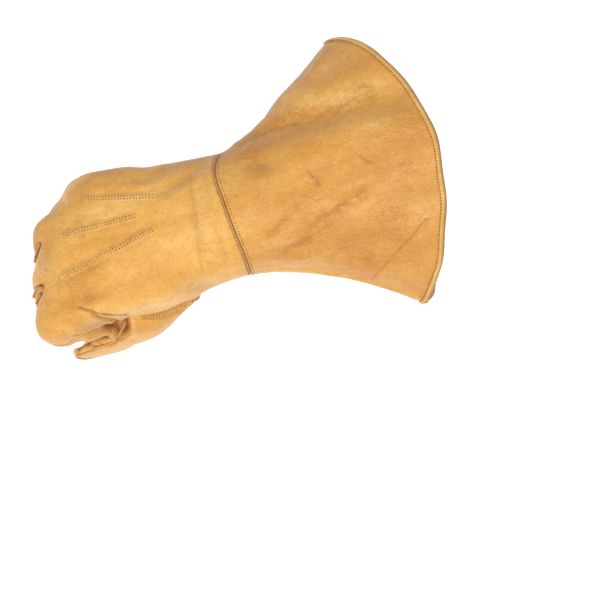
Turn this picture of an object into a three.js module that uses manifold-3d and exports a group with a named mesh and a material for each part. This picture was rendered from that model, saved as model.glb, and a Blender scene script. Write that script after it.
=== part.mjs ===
// A right-hand leather gauntlet glove, worn in a loose fist, as separate hollow leather pieces.
// Millimetres. +X runs from the wrist to the cuff mouth, +Y to the little finger, +Z up to the back of the hand.
import * as THREE from "three";
import ManifoldModule from "manifold-3d";

const wasm = await ManifoldModule();
wasm.setup();
const { Manifold } = wasm;

// Driving sizes
const LEATHER = 1.6;
const PIECE_GAP = 0.3;
const WRIST_HALF_WIDTH = 46;
const WRIST_HALF_HEIGHT = 49;
const SEAM_SWAY = 10;
const HAND_LENGTH = 163;
const PALM_HALF_WIDTH = 54;
const PALM_HALF_HEIGHT = 40;
const KNUCKLE_LINE = 80;
const FINGER_HALF_WIDTH = 15.5;
const FINGER_HALF_THICKNESS = 16;
const THUMB_LENGTH = 100;
const THUMB_HALF_WIDTH = 19;
const THUMB_HALF_THICKNESS = 12;
const CUFF_LENGTH = 157;
const RIM_HALF_WIDTH = 104;
const RIM_HALF_HEIGHT = 76;
const RIM_SHIFT = 13;
const FOLD_DEPTH = 3;
const BINDING_WIDTH = 5;
const BINDING_THICKNESS = 1.1;
const WELT_WIDTH = 1.4;
const WELT_RISE = 0.9;
const STRAP_WIDTH = 22;
const STRAP_THICKNESS = 1.8;
const STRAP_CENTRE = 17;
const STRAP_LEAN = 4;
const STRAP_TAIL = 12;
const STRAP_LIFT = 0.45;
const RING_WIRE = 2.4;
const RING_HEIGHT = 8;
const RING_DROP = 3.5;

// Finish of each material
const MATERIALS = {
  grain: { color: 0xdca551, roughness: 0.55, metalness: 0 },
  cuff: { color: 0xd9a052, roughness: 0.55, metalness: 0 },
  edge: { color: 0xb98542, roughness: 0.8, metalness: 0 },
  suede: { color: 0xc99a55, roughness: 0.95, metalness: 0 },
  steel: { color: 0x2c2c2e, roughness: 0.35, metalness: 1 },
};

// Where the hand's wall ends at the wrist seam
const HAND_EDGE = -WELT_WIDTH / 2 - PIECE_GAP;

// Counts of facets
const SIDES = 48;
const CUFF_STEPS = 7;
const BALL_SEGMENTS = 16;
const STRAP_COLUMNS = 5;
const FOLD_STEPS = 6;

// Angles run round the glove from the little finger side (0) over the back (90) to the thumb side (180).
// Seam between hand and cuff: how far it sways toward the cuff, in shares of SEAM_SWAY.
const SEAM = [
  { angle: 0, sway: 0.25 },
  { angle: 30, sway: -0.55 },
  { angle: 60, sway: -1.0 },
  { angle: 90, sway: -0.75 },
  { angle: 120, sway: -0.35 },
  { angle: 150, sway: 0.05 },
  { angle: 180, sway: 0.15 },
  { angle: 210, sway: -0.1 },
  { angle: 240, sway: 0.1 },
  { angle: 270, sway: 0.3 },
  { angle: 300, sway: 0.3 },
  { angle: 330, sway: 0.3 },
];

// Mouth of the cuff: reach in shares of CUFF_LENGTH, and the power with which the wall flares out to it.
const RIM = [
  { angle: 0, reach: 0.59, flare: 1.15 },
  { angle: 22.5, reach: 0.69, flare: 1.2 },
  { angle: 45, reach: 0.81, flare: 1.4 },
  { angle: 67.5, reach: 0.92, flare: 1.75 },
  { angle: 90, reach: 0.99, flare: 2.0 },
  { angle: 112.5, reach: 0.985, flare: 1.95 },
  { angle: 135, reach: 0.935, flare: 1.85 },
  { angle: 157.5, reach: 0.875, flare: 1.75 },
  { angle: 180, reach: 0.82, flare: 1.7 },
  { angle: 202.5, reach: 0.85, flare: 1.75 },
  { angle: 225, reach: 0.895, flare: 1.85 },
  { angle: 247.5, reach: 0.93, flare: 1.9 },
  { angle: 270, reach: 0.935, flare: 1.9 },
  { angle: 292.5, reach: 0.89, flare: 1.75 },
  { angle: 315, reach: 0.8, flare: 1.5 },
  { angle: 337.5, reach: 0.69, flare: 1.25 },
];

// Long soft folds of the cuff: where they start and end, how wide they are in degrees, and their depth in
// shares of FOLD_DEPTH, with a valley below zero.
const CUFF_FOLDS = [
  { from: 15, to: 66, width: 11, depth: -1.0 },
  { from: 62, to: 88, width: 14, depth: 0.7 },
  { from: 160, to: 106, width: 10, depth: -0.9 },
  { from: 180, to: 180, width: 5, depth: 0.6 },
  { from: 236, to: 228, width: 13, depth: -0.8 },
  { from: 300, to: 292, width: 15, depth: -0.7 },
  { from: 330, to: 338, width: 12, depth: 0.6 },
];

// Sections of the palm and back: distance from the wrist in shares of HAND_LENGTH, both sides in shares of
// PALM_HALF_WIDTH, top and bottom in shares of PALM_HALF_HEIGHT, and how square the section is.
const PALM = [
  { along: 0.13, ulnar: 0.85, radial: -0.89, top: 1.14, bottom: -1.22, square: 2.15 },
  { along: 0.28, ulnar: 0.86, radial: -1.0, top: 0.99, bottom: -1.17, square: 2.3 },
  { along: 0.42, ulnar: 0.88, radial: -1.09, top: 0.89, bottom: -1.1, square: 2.5 },
  { along: 0.53, ulnar: 0.9, radial: -1.08, top: 0.8, bottom: -0.98, square: 2.6 },
  { along: 0.6, ulnar: 0.9, radial: -1.06, top: 0.71, bottom: -0.6, square: 2.6 },
  { along: 0.67, ulnar: 0.87, radial: -1.05, top: 0.58, bottom: -0.5, square: 2.6 },
  { along: 0.74, ulnar: 0.74, radial: -1.05, top: 0.4, bottom: -0.46, square: 2.6 },
];

// Joints of the curled fingers, from the knuckle to the tip. Places are shares of HAND_LENGTH, PALM_HALF_WIDTH and
// PALM_HALF_HEIGHT, sizes are shares of FINGER_HALF_THICKNESS (long and thick) and FINGER_HALF_WIDTH (wide).
const FINGERS = {
  index: [
    { along: 0.58, across: -0.76, up: 0.1, long: 1.3, wide: 1.15, thick: 1.5 },
    { along: 0.81, across: -0.9, up: -0.15, long: 1.05, wide: 1.04, thick: 1.12 },
    { along: 0.895, across: -0.95, up: -0.52, long: 1.08, wide: 1.03, thick: 1.0 },
    { along: 0.83, across: -0.96, up: -0.95, long: 0.94, wide: 0.96, thick: 0.88 },
    { along: 0.72, across: -0.93, up: -0.93, long: 0.78, wide: 0.9, thick: 0.81 },
  ],
  middle: [
    { along: 0.58, across: -0.22, up: 0.15, long: 1.3, wide: 1.1, thick: 1.5 },
    { along: 0.8, across: -0.3, up: -0.1, long: 1.08, wide: 1.0, thick: 1.15 },
    { along: 0.875, across: -0.37, up: -0.48, long: 1.08, wide: 1.0, thick: 1.0 },
    { along: 0.81, across: -0.4, up: -0.95, long: 0.94, wide: 0.94, thick: 0.88 },
    { along: 0.71, across: -0.4, up: -1.0, long: 0.81, wide: 0.87, thick: 0.81 },
  ],
  ring: [
    { along: 0.55, across: 0.27, up: 0.1, long: 1.3, wide: 1.03, thick: 1.45 },
    { along: 0.745, across: 0.27, up: -0.08, long: 1.08, wide: 1.02, thick: 1.12 },
    { along: 0.835, across: 0.21, up: -0.45, long: 1.05, wide: 1.02, thick: 1.0 },
    { along: 0.765, across: 0.15, up: -0.92, long: 0.94, wide: 0.9, thick: 0.88 },
    { along: 0.67, across: 0.13, up: -0.98, long: 0.81, wide: 0.85, thick: 0.81 },
  ],
  little: [
    { along: 0.49, across: 0.65, up: 0.0, long: 1.2, wide: 0.92, thick: 1.3 },
    { along: 0.62, across: 0.7, up: -0.12, long: 0.95, wide: 0.9, thick: 1.05 },
    { along: 0.685, across: 0.69, up: -0.4, long: 0.9, wide: 0.86, thick: 0.9 },
    { along: 0.635, across: 0.62, up: -0.82, long: 0.78, wide: 0.78, thick: 0.78 },
    { along: 0.57, across: 0.58, up: -0.88, long: 0.7, wide: 0.74, thick: 0.76 },
  ],
};

// Joints of the thumb from the heel of the hand to the tip. Places are shares of THUMB_LENGTH forward from the heel,
// PALM_HALF_WIDTH and PALM_HALF_HEIGHT, sizes are shares of THUMB_HALF_WIDTH (long and high) and THUMB_HALF_THICKNESS.
const THUMB_HEEL = 45;
const THUMB = [
  { along: 0.06, across: -0.58, up: -1.0, long: 0.82, wide: 1.75, high: 0.78 },
  { along: 0.3, across: -0.83, up: -1.19, long: 0.95, wide: 1.75, high: 1.18 },
  { along: 0.5, across: -1.07, up: -1.36, long: 1.0, wide: 1.1, high: 1.28 },
  { along: 0.66, across: -1.18, up: -1.65, long: 0.95, wide: 0.65, high: 1.06 },
  { along: 0.78, across: -1.21, up: -1.83, long: 0.92, wide: 0.42, high: 0.98 },
  { along: 0.82, across: -1.22, up: -1.86, long: 0.8, wide: 0.28, high: 0.88 },
];

const radians = (degrees) => (degrees * Math.PI) / 180;

// A value from a closed table of equally spaced angles, by a smooth curve through its rows.
function around(table, column, angle) {
  const step = 360 / table.length;
  const turn = ((angle % 360) + 360) % 360;
  const row = Math.floor(turn / step);
  const t = turn / step - row;
  const at = (i) => table[(i + table.length) % table.length][column];
  const [a, b, c, d] = [at(row - 1), at(row), at(row + 1), at(row + 2)];
  return b + 0.5 * t * (c - a + t * (2 * a - 5 * b + 4 * c - d + t * (3 * (b - c) + d - a)));
}

// A closed body from loops of points: a tube of loops closed at both ends, or a ring when the last meets the first.
function bodyOf(loops, isRing) {
  const count = loops[0].length;
  const points = loops.flat();
  const triangles = [];
  const quads = (from, to) => {
    for (let i = 0; i < count; i++) {
      const j = (i + 1) % count;
      const [a, b, c, d] = [from + i, from + j, to + i, to + j];
      if (points[a].distanceTo(points[d]) < points[b].distanceTo(points[c])) {
        triangles.push(a, b, d, a, d, c);
      } else {
        triangles.push(a, b, c, b, d, c);
      }
    }
  };
  for (let k = 0; k + 1 < loops.length; k++) quads(k * count, (k + 1) * count);
  if (isRing) {
    quads((loops.length - 1) * count, 0);
  } else {
    const middle = (loop) => loop.reduce((sum, p) => sum.add(p), new THREE.Vector3()).divideScalar(count);
    points.push(middle(loops[0]), middle(loops.at(-1)));
    const last = (loops.length - 1) * count;
    for (let i = 0; i < count; i++) {
      const j = (i + 1) % count;
      triangles.push(points.length - 2, j, i, points.length - 1, last + i, last + j);
    }
  }
  const make = (list) =>
    new Manifold(
      new wasm.Mesh({
        numProp: 3,
        vertProperties: new Float32Array(points.flatMap((p) => [p.x, p.y, p.z])),
        triVerts: new Uint32Array(list),
      }),
    );
  const body = make(triangles);
  if (body.volume() > 0) return body;
  for (let i = 0; i < triangles.length; i += 3) {
    [triangles[i + 1], triangles[i + 2]] = [triangles[i + 2], triangles[i + 1]];
  }
  return make(triangles);
}

// A rounded box-like ball whose power of 2 is an ellipsoid.
function ball(centre, radii, power = 2.3) {
  const round = Manifold.sphere(1, BALL_SEGMENTS).warp((v) => {
    const size = (Math.abs(v[0]) ** power + Math.abs(v[1]) ** power + Math.abs(v[2]) ** power) ** (1 / power);
    for (let i = 0; i < 3; i++) v[i] /= size;
  });
  return round.scale(radii).translate(centre);
}

// Wrist seam: a point of the section that hand, welt and cuff share, moved out by an offset.
function wristPoint(angle, offset = 0) {
  const a = radians(angle);
  const x = SEAM_SWAY * around(SEAM, "sway", angle);
  const across = (WRIST_HALF_WIDTH + offset) * Math.cos(a);
  const up = (WRIST_HALF_HEIGHT + offset) * Math.sin(a);
  return new THREE.Vector3(x, across, up);
}

function rimPoint(angle, offset = 0) {
  const a = radians(angle);
  const x = CUFF_LENGTH * around(RIM, "reach", angle);
  const across = RIM_SHIFT + (RIM_HALF_WIDTH + offset) * Math.cos(a);
  const up = (RIM_HALF_HEIGHT + offset) * Math.sin(a);
  return new THREE.Vector3(x, across, up);
}

// How far the folds move the cuff's wall out at a share of its length.
function foldRise(angle, share) {
  const grow = Math.min(1, 2.2 * share) * (0.55 + 0.45 * share);
  let rise = 0;
  for (const fold of CUFF_FOLDS) {
    const centre = fold.from + (fold.to - fold.from) * Math.sqrt(share);
    const away = ((angle - centre + 540) % 360) - 180;
    rise += fold.depth * Math.exp(-((away / fold.width) ** 2));
  }
  return FOLD_DEPTH * rise * grow;
}

// A point of the cuff's middle surface, at a share of the way from wrist to rim, moved out by an offset.
function cuffPoint(angle, share, offset = 0) {
  const grow = Math.max(0, share);
  const out = offset + foldRise(angle, grow);
  const wrist = wristPoint(angle, out);
  const rim = rimPoint(angle, out);
  const flared = grow ** around(RIM, "flare", angle);
  return new THREE.Vector3(
    wrist.x + (rim.x - wrist.x) * share,
    wrist.y + (rim.y - wrist.y) * flared,
    wrist.z + (rim.z - wrist.z) * flared,
  );
}

// Lengths of the cuff along one angle, to turn a wall's or a gap's size into a share.
function cuffReach(angle) {
  return rimPoint(angle).x - wristPoint(angle).x;
}

function cuffRun(angle) {
  return wristPoint(angle).distanceTo(rimPoint(angle));
}

// Where the binding starts on the wall.
function bindingStart(angle) {
  return 1 - BINDING_WIDTH / cuffRun(angle);
}

function anglesRound() {
  return Array.from({ length: SIDES }, (_, i) => (360 * i) / SIDES);
}

// Cuff wall: outside from wrist to rim, then inside back again, swept round the glove.
function makeCuff() {
  const half = LEATHER / 2;
  const loops = anglesRound().map((angle) => {
    const start = (WELT_WIDTH / 2 + PIECE_GAP) / cuffReach(angle);
    const way = bindingStart(angle) - start;
    const shares = Array.from({ length: CUFF_STEPS + 1 }, (_, i) => start + way * (i / CUFF_STEPS) ** 0.9);
    shares.push(1);
    const outside = shares.map((share) => cuffPoint(angle, share, half));
    const inside = shares.map((share) => cuffPoint(angle, share, -half)).reverse();
    return [...outside, ...inside];
  });
  return bodyOf(loops, true);
}

// Binding: a leather edge folded over the rim, clear of the wall by the gap.
function makeBinding() {
  const near = LEATHER / 2 + PIECE_GAP;
  const far = near + BINDING_THICKNESS;
  const loops = anglesRound().map((angle) => {
    const run = cuffRun(angle);
    const back = bindingStart(angle);
    const inner = 1 + PIECE_GAP / run;
    const outer = 1 + (PIECE_GAP + BINDING_THICKNESS) / run;
    return [
      cuffPoint(angle, back, far),
      cuffPoint(angle, inner, far),
      cuffPoint(angle, outer, near * 0.7),
      cuffPoint(angle, outer, -near * 0.7),
      cuffPoint(angle, inner, -far),
      cuffPoint(angle, back, -far),
      cuffPoint(angle, back, -near),
      cuffPoint(angle, inner, -near),
      cuffPoint(angle, inner, near),
      cuffPoint(angle, back, near),
    ];
  });
  return bodyOf(loops, true);
}

// Welt: a thin leather ring that stands a little proud of the wrist seam.
function makeWelt() {
  const half = LEATHER / 2;
  const loops = anglesRound().map((angle) => {
    const edge = (x, offset) => wristPoint(angle, offset).add(new THREE.Vector3(x, 0, 0));
    const side = WELT_WIDTH / 2;
    return [
      edge(-side, -half),
      edge(-side, half + WELT_RISE * 0.5),
      edge(0, half + WELT_RISE),
      edge(side, half + WELT_RISE * 0.5),
      edge(side, -half),
    ];
  });
  return bodyOf(loops, true);
}

// A point of one palm section, moved out by an offset.
function palmPoint(row, angle, offset) {
  const a = radians(angle);
  const power = 2 / row.square;
  const ulnar = row.ulnar * PALM_HALF_WIDTH;
  const radial = row.radial * PALM_HALF_WIDTH;
  const top = row.top * PALM_HALF_HEIGHT;
  const bottom = row.bottom * PALM_HALF_HEIGHT;
  const bent = (value) => Math.sign(value) * Math.abs(value) ** power;
  return new THREE.Vector3(
    -row.along * HAND_LENGTH,
    (ulnar + radial) / 2 + ((ulnar - radial) / 2 + offset) * bent(Math.cos(a)),
    (top + bottom) / 2 + ((top - bottom) / 2 + offset) * bent(Math.sin(a)),
  );
}

// Palm and back as one tube from the wrist, with its far end closed inside the fingers.
function palmTube(offset, wristEdge) {
  const angles = Array.from({ length: SIDES }, (_, i) => (360 * i) / SIDES);
  const edge = new THREE.Vector3(wristEdge, 0, 0);
  const flatEdge = angles.map((angle) => wristPoint(angle, offset - 3 * LEATHER).add(edge));
  const start = angles.map((angle) => wristPoint(angle, offset).add(edge));
  const sections = PALM.map((row) => angles.map((angle) => palmPoint(row, angle, offset)));
  const end = sections.at(-1).map((point) => point.clone().setX(point.x - LEATHER / 2 - offset));
  return bodyOf([flatEdge, start, ...sections, end], false);
}

// A chain of balls, each joined to the next by the smallest round body that holds both.
function chain(balls) {
  const links = [];
  for (let i = 0; i + 1 < balls.length; i++) links.push(Manifold.hull([balls[i], balls[i + 1]]));
  return Manifold.union(links);
}

function fingerBall(joint, offset) {
  const thickness = FINGER_HALF_THICKNESS;
  return ball(
    [-joint.along * HAND_LENGTH, joint.across * PALM_HALF_WIDTH, joint.up * PALM_HALF_HEIGHT],
    [joint.long * thickness + offset, joint.wide * FINGER_HALF_WIDTH + offset, joint.thick * thickness + offset],
  );
}

function thumbBody(offset) {
  return chain(
    THUMB.map((joint) =>
      ball(
        [
          -THUMB_HEEL - joint.along * THUMB_LENGTH,
          joint.across * PALM_HALF_WIDTH,
          joint.up * PALM_HALF_HEIGHT,
        ],
        [
          joint.long * THUMB_HALF_WIDTH + offset,
          joint.wide * THUMB_HALF_THICKNESS + offset,
          joint.high * THUMB_HALF_WIDTH + offset,
        ],
      ),
    ),
  );
}

// Leather that spans two neighbouring fingers over their knuckles, before they part.
function web(joints, neighbours, offset) {
  const pair = [...joints.slice(0, 2), ...neighbours.slice(0, 2)];
  return Manifold.hull(pair.map((joint) => fingerBall(joint, offset)));
}

function handBody(offset, wristEdge) {
  const fingers = Object.values(FINGERS);
  const tubes = fingers.map((joints) => chain(joints.map((joint) => fingerBall(joint, offset))));
  const webs = fingers.slice(1).map((joints, i) => web(fingers[i], joints, offset));
  return Manifold.union([palmTube(offset, wristEdge), ...tubes, ...webs]);
}

// The largest body of a cut, without the slivers that a cut can leave.
function largest(body) {
  return body.decompose().sort((a, b) => b.volume() - a.volume())[0];
}

function handWall() {
  const half = LEATHER / 2;
  const outside = handBody(half, HAND_EDGE);
  const inside = handBody(-half, 1);
  return largest(outside.subtract(inside).subtract(thumbBody(-half)));
}

// The hand's wall in two pieces that part behind the knuckles: palm and back, and the fingers.
function makeHand() {
  const wall = handWall();
  const palm = wall.trimByPlane([1, 0, 0], PIECE_GAP / 2 - KNUCKLE_LINE);
  const fingers = wall.trimByPlane([-1, 0, 0], PIECE_GAP / 2 + KNUCKLE_LINE);
  return [largest(palm), largest(fingers)];
}

function makeThumb() {
  const half = LEATHER / 2;
  const clearance = handBody(half + PIECE_GAP, 0);
  return largest(thumbBody(half).subtract(thumbBody(-half)).subtract(clearance));
}

// A point of the hand's wall between wrist and palm, at a distance from the wrist, moved out by an offset.
function handSide(x, angle, offset) {
  const edge = new THREE.Vector3(HAND_EDGE, 0, 0);
  const rows = [wristPoint(angle, offset).add(edge), ...PALM.map((row) => palmPoint(row, angle, offset))];
  const next = Math.max(1, rows.findIndex((point) => point.x <= x));
  const share = (rows[next - 1].x - x) / (rows[next - 1].x - rows[next].x);
  return rows[next - 1].clone().lerp(rows[next], share);
}

// A strap through stations: each gives its two faces at a distance from the wrist.
function ribbon(stations) {
  const loops = stations.map((station) => {
    const xs = Array.from(
      { length: STRAP_COLUMNS },
      (_, i) => -STRAP_CENTRE + station.lean + STRAP_WIDTH * (i / (STRAP_COLUMNS - 1) - 0.5),
    );
    const faces = xs.map((x) => station.faces(x));
    return [...faces.map((face) => face[0]), ...faces.map((face) => face[1]).reverse()];
  });
  return bodyOf(loops, false);
}

// A station that lies along the hand's wall, with its two faces at two heights over it.
function lyingStation(angle, first, second, lean = 0) {
  const half = LEATHER / 2;
  return { lean, faces: (x) => [handSide(x, angle, half + first), handSide(x, angle, half + second)] };
}

// A station that hangs free, whose centre and first face's direction lie in the plane across the wrist.
function freeStation(centre, direction, lean = 0) {
  const out = direction.clone().normalize().multiplyScalar(STRAP_THICKNESS / 2);
  const face = (x, side) => new THREE.Vector3(x, centre.x + side * out.x, centre.y + side * out.y);
  return { lean, faces: (x) => [face(x, 1), face(x, -1)] };
}

// Angles of the hand's facets at which the tab and the strap start and leave its wall.
const facetAngle = (angle) => Math.round((angle * SIDES) / 360) * (360 / SIDES);
const TAB_TOP = facetAngle(225);
const TAB_LEAVES = facetAngle(232);
const STRAP_LEAVES = facetAngle(262);
const STRAP_END = facetAngle(328);

// Where the two bars of the ring lie, across and up
const FOLD_RADIUS = RING_WIRE * 0.71 + PIECE_GAP + STRAP_THICKNESS / 2;
const leaving = handSide(-STRAP_CENTRE, TAB_LEAVES, LEATHER / 2 + PIECE_GAP + STRAP_THICKNESS);
const palmSide = handSide(-STRAP_CENTRE, 270, LEATHER / 2);
const UPPER_BAR = new THREE.Vector2(leaving.y + 1.5, palmSide.z - RING_DROP);
const LOWER_BAR = new THREE.Vector2(UPPER_BAR.x + 1.2, UPPER_BAR.y - RING_HEIGHT);

// Stations of a half turn round a bar, from one direction to the opposite one, either way round.
function foldRound(bar, start, turn, lean) {
  return Array.from({ length: FOLD_STEPS }, (_, i) => {
    const angle = (turn * Math.PI * i) / (FOLD_STEPS - 1);
    const direction = start.clone().normalize().rotateAround(new THREE.Vector2(), angle);
    return freeStation(bar.clone().addScaledVector(direction, FOLD_RADIUS), direction, lean);
  });
}

// Tab: lies on the hand, hangs to the ring's upper bar, goes round it and lies under itself.
function makeTab() {
  const under = STRAP_LIFT;
  const middle = under + STRAP_THICKNESS;
  const over = middle + PIECE_GAP;
  const angles = [TAB_TOP, TAB_LEAVES];
  const outer = angles.map((angle) => lyingStation(angle, over + STRAP_THICKNESS, over));
  const inner = angles.map((angle) => lyingStation(angle, under, middle)).reverse();
  return ribbon([...outer, ...foldRound(UPPER_BAR, new THREE.Vector2(-1, -0.12), 1, STRAP_LEAN), ...inner]);
}

// Pull strap: lies across the palm side of the wrist and turns back round the ring's lower bar.
function makeStrap() {
  const over = STRAP_LIFT + STRAP_THICKNESS;
  const lying = [];
  for (let angle = STRAP_END; angle > STRAP_LEAVES - 1; angle -= 360 / SIDES) {
    lying.push(lyingStation(angle, over, STRAP_LIFT, STRAP_LEAN));
  }
  const fold = foldRound(LOWER_BAR, new THREE.Vector2(0.55, -0.83), -1, STRAP_LEAN);
  const tailWay = new THREE.Vector2(0.91, 0.41);
  const tailFace = new THREE.Vector2(-0.41, 0.91);
  const foldEnd = LOWER_BAR.clone().addScaledVector(new THREE.Vector2(-0.55, 0.83), FOLD_RADIUS);
  const tail = freeStation(foldEnd.addScaledVector(tailWay, STRAP_TAIL), tailFace, STRAP_LEAN);
  return ribbon([...lying, ...fold, tail]);
}

// A rectangle with round corners, centred.
function roundedRectangle(Kind, width, height, radius) {
  const outline = new Kind();
  const [x, y] = [width / 2, height / 2];
  outline.moveTo(-x + radius, -y);
  outline.lineTo(x - radius, -y);
  outline.absarc(x - radius, -y + radius, radius, -Math.PI / 2, 0);
  outline.lineTo(x, y - radius);
  outline.absarc(x - radius, y - radius, radius, 0, Math.PI / 2);
  outline.lineTo(-x + radius, y);
  outline.absarc(-x + radius, y - radius, radius, Math.PI / 2, Math.PI);
  outline.lineTo(-x, -y + radius);
  outline.absarc(-x + radius, -y + radius, radius, Math.PI, 1.5 * Math.PI);
  return outline;
}

// Ring: a flat rectangular wire, whose two long bars carry the tab and the strap.
function makeRing() {
  const width = STRAP_WIDTH + 4 * PIECE_GAP;
  const outline = roundedRectangle(THREE.Shape, width + 2 * RING_WIRE, RING_HEIGHT + RING_WIRE, 1.2 * RING_WIRE);
  outline.holes.push(roundedRectangle(THREE.Path, width, RING_HEIGHT - RING_WIRE, 0.2 * RING_WIRE));
  const geometry = new THREE.ExtrudeGeometry(outline, {
    depth: RING_WIRE,
    bevelEnabled: false,
    curveSegments: 4,
  });
  geometry.translate(0, 0, -RING_WIRE / 2);
  const mesh = new THREE.Mesh(geometry, new THREE.MeshStandardMaterial(MATERIALS.steel));
  const rise = UPPER_BAR.clone().sub(LOWER_BAR);
  const centre = UPPER_BAR.clone().add(LOWER_BAR).divideScalar(2);
  mesh.position.set(-STRAP_CENTRE + STRAP_LEAN, centre.x, centre.y);
  mesh.rotation.x = Math.atan2(rise.y, rise.x);
  mesh.name = "strap_ring";
  return mesh;
}

// One named mesh with flat facets.
function meshOf(name, body, finish) {
  const made = body.getMesh();
  const geometry = new THREE.BufferGeometry();
  geometry.setAttribute("position", new THREE.BufferAttribute(new Float32Array(made.vertProperties), 3));
  geometry.setIndex(new THREE.BufferAttribute(new Uint32Array(made.triVerts), 1));
  const mesh = new THREE.Mesh(geometry.toNonIndexed(), new THREE.MeshStandardMaterial(MATERIALS[finish]));
  mesh.geometry.computeVertexNormals();
  mesh.name = name;
  return mesh;
}

const [palmShell, fingerShell] = makeHand();
const glove = new THREE.Group();
glove.name = "gauntlet_glove";
glove.add(
  meshOf("hand_shell", palmShell, "grain"),
  meshOf("finger_shell", fingerShell, "grain"),
  meshOf("thumb_shell", makeThumb(), "grain"),
  meshOf("cuff_shell", makeCuff(), "cuff"),
  meshOf("rim_binding", makeBinding(), "edge"),
  meshOf("wrist_welt", makeWelt(), "edge"),
  meshOf("strap_tab", makeTab(), "suede"),
  meshOf("pull_strap", makeStrap(), "suede"),
  makeRing(),
);

export default glove;
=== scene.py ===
"""Looks of a tan leather gauntlet glove with a flared cuff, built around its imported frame."""
import logging
import math
from dataclasses import dataclass, field, replace
from enum import Enum
from typing import Optional, Sequence, Union

import bmesh
import bpy
import numpy as np
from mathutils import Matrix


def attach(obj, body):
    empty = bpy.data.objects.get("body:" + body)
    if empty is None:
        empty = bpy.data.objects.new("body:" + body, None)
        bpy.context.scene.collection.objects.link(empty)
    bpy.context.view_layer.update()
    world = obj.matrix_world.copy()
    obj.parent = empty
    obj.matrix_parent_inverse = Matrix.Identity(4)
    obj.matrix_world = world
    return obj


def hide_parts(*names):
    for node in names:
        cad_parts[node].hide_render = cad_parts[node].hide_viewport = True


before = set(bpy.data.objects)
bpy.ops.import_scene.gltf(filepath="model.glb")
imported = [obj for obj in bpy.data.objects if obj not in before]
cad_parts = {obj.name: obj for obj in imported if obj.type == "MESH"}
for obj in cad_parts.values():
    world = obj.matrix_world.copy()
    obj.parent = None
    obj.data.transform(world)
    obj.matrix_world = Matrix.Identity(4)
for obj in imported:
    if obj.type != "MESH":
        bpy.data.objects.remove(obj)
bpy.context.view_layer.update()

import openvdb
from mathutils import Matrix, Vector
from mathutils.bvhtree import BVHTree

log = logging.getLogger("glove")

MM = 0.001
PIXEL = 0.75  # millimetres of the glove to a pixel of the photograph
TINY = 1e-8  # keeps a root of a sum away from zero
CURVE_STEPS = 6  # pieces of a drawn line between two of its pixels
CREASE_REACH = 3.2  # how far beside its line a crease is felt, in its widths
CREASE_FADE = 2.5  # how far from its ends a crease has its full depth, in its widths
CREASE_END = 0.15  # share that is left of it at the very ends
LIP_PLACE, LIP_SPREAD = 2.0, 0.9  # where the leather beside a crease stands up, and how broadly, in its widths
SHADE_SPREAD = 0.9  # how broad a crease's darkness is, in its widths
Pair = tuple[float, float]
Triple = tuple[float, float, float]
Array = np.ndarray
Number = Union[float, Array]
Piece, Material, Socket = bpy.types.Object, bpy.types.Material, bpy.types.NodeSocket


# ---- numbers and curves

def ease(value: Array) -> Array:
    """Smooth step from 0 to 1 as the value goes from 0 to 1."""
    t = np.clip(value, 0.0, 1.0)
    return t * t * (3 - 2 * t)


def bell(value: Array, middle: float, spread: Number, height: float = 1.0) -> Array:
    """Rounded bump over a middle, which fades out on both sides within about two spreads."""
    return np.exp(-((value - middle) / spread) ** 2) * height


def curved(a: Number, b: Number, c: Number, d: Number, t: Number) -> Number:
    """Value at share t of the way from b to c, on a smooth curve through four equally spaced values."""
    return b + 0.5 * t * (c - a + t * (2 * a - 5 * b + 4 * c - d + t * (3 * (b - c) + d - a)))


def unit(rows: Array) -> Array:
    """Directions of rows of coordinates, each of length 1."""
    return rows / np.linalg.norm(rows, axis=-1, keepdims=True)


def around(values: Sequence[float], angle: Array) -> Array:
    """Reads a closed table of equally spaced angles by a smooth curve through its rows.

    Args:
        values: the table's numbers, the first at 0 degrees.
        angle: angles in degrees.

    Returns:
        The values at the angles.
    """
    rows = np.asarray(values, dtype=float)
    turn = np.mod(angle, 360.0) / (360.0 / len(rows))
    row = np.floor(turn).astype(int)
    return curved(*(rows[(row + i) % len(rows)] for i in (-1, 0, 1, 2)), turn - row)


def refined(rows: Array, steps: int) -> Array:
    """Smooth open curve through rows of numbers.

    Args:
        rows: one row for each point, any number of columns.
        steps: pieces that each stretch between two rows is cut into.

    Returns:
        The denser rows, the first and last as given.
    """
    rows = np.asarray(rows, dtype=float)
    padded = np.concatenate([2 * rows[:1] - rows[1:2], rows, 2 * rows[-1:] - rows[-2:-1]])
    found = []
    for i in range(len(rows) - 1):
        found.extend(curved(*padded[i:i + 4], share) for share in np.arange(steps) / steps)
    found.append(rows[-1])
    return np.array(found)


def waviness(points: Array, length: float, seed: int, count: int = 14) -> Array:
    """Soft unevenness in space, made of waves in random directions.

    Args:
        points: places in millimetres.
        length: typical length of a wave in millimetres.
        seed: fixes the waves.
        count: number of waves.

    Returns:
        A value for each place, mostly between -1 and 1.
    """
    draw = np.random.default_rng(seed)
    total = np.zeros(len(points))
    for _ in range(count):
        way = draw.normal(size=3)
        way /= np.linalg.norm(way)
        wave = length * draw.uniform(0.7, 1.6)
        total += np.sin(points @ way * (2 * math.pi / wave) + draw.uniform(0, 2 * math.pi))
    return total / math.sqrt(count / 2) / 1.6


def ripples(points: Array, sizes: Sequence[Triple]) -> Array:
    """Sum of several kinds of unevenness, each given by its length, seed and height in millimetres."""
    return sum(waviness(points, length, seed) * height for length, seed, height in sizes)


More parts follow.
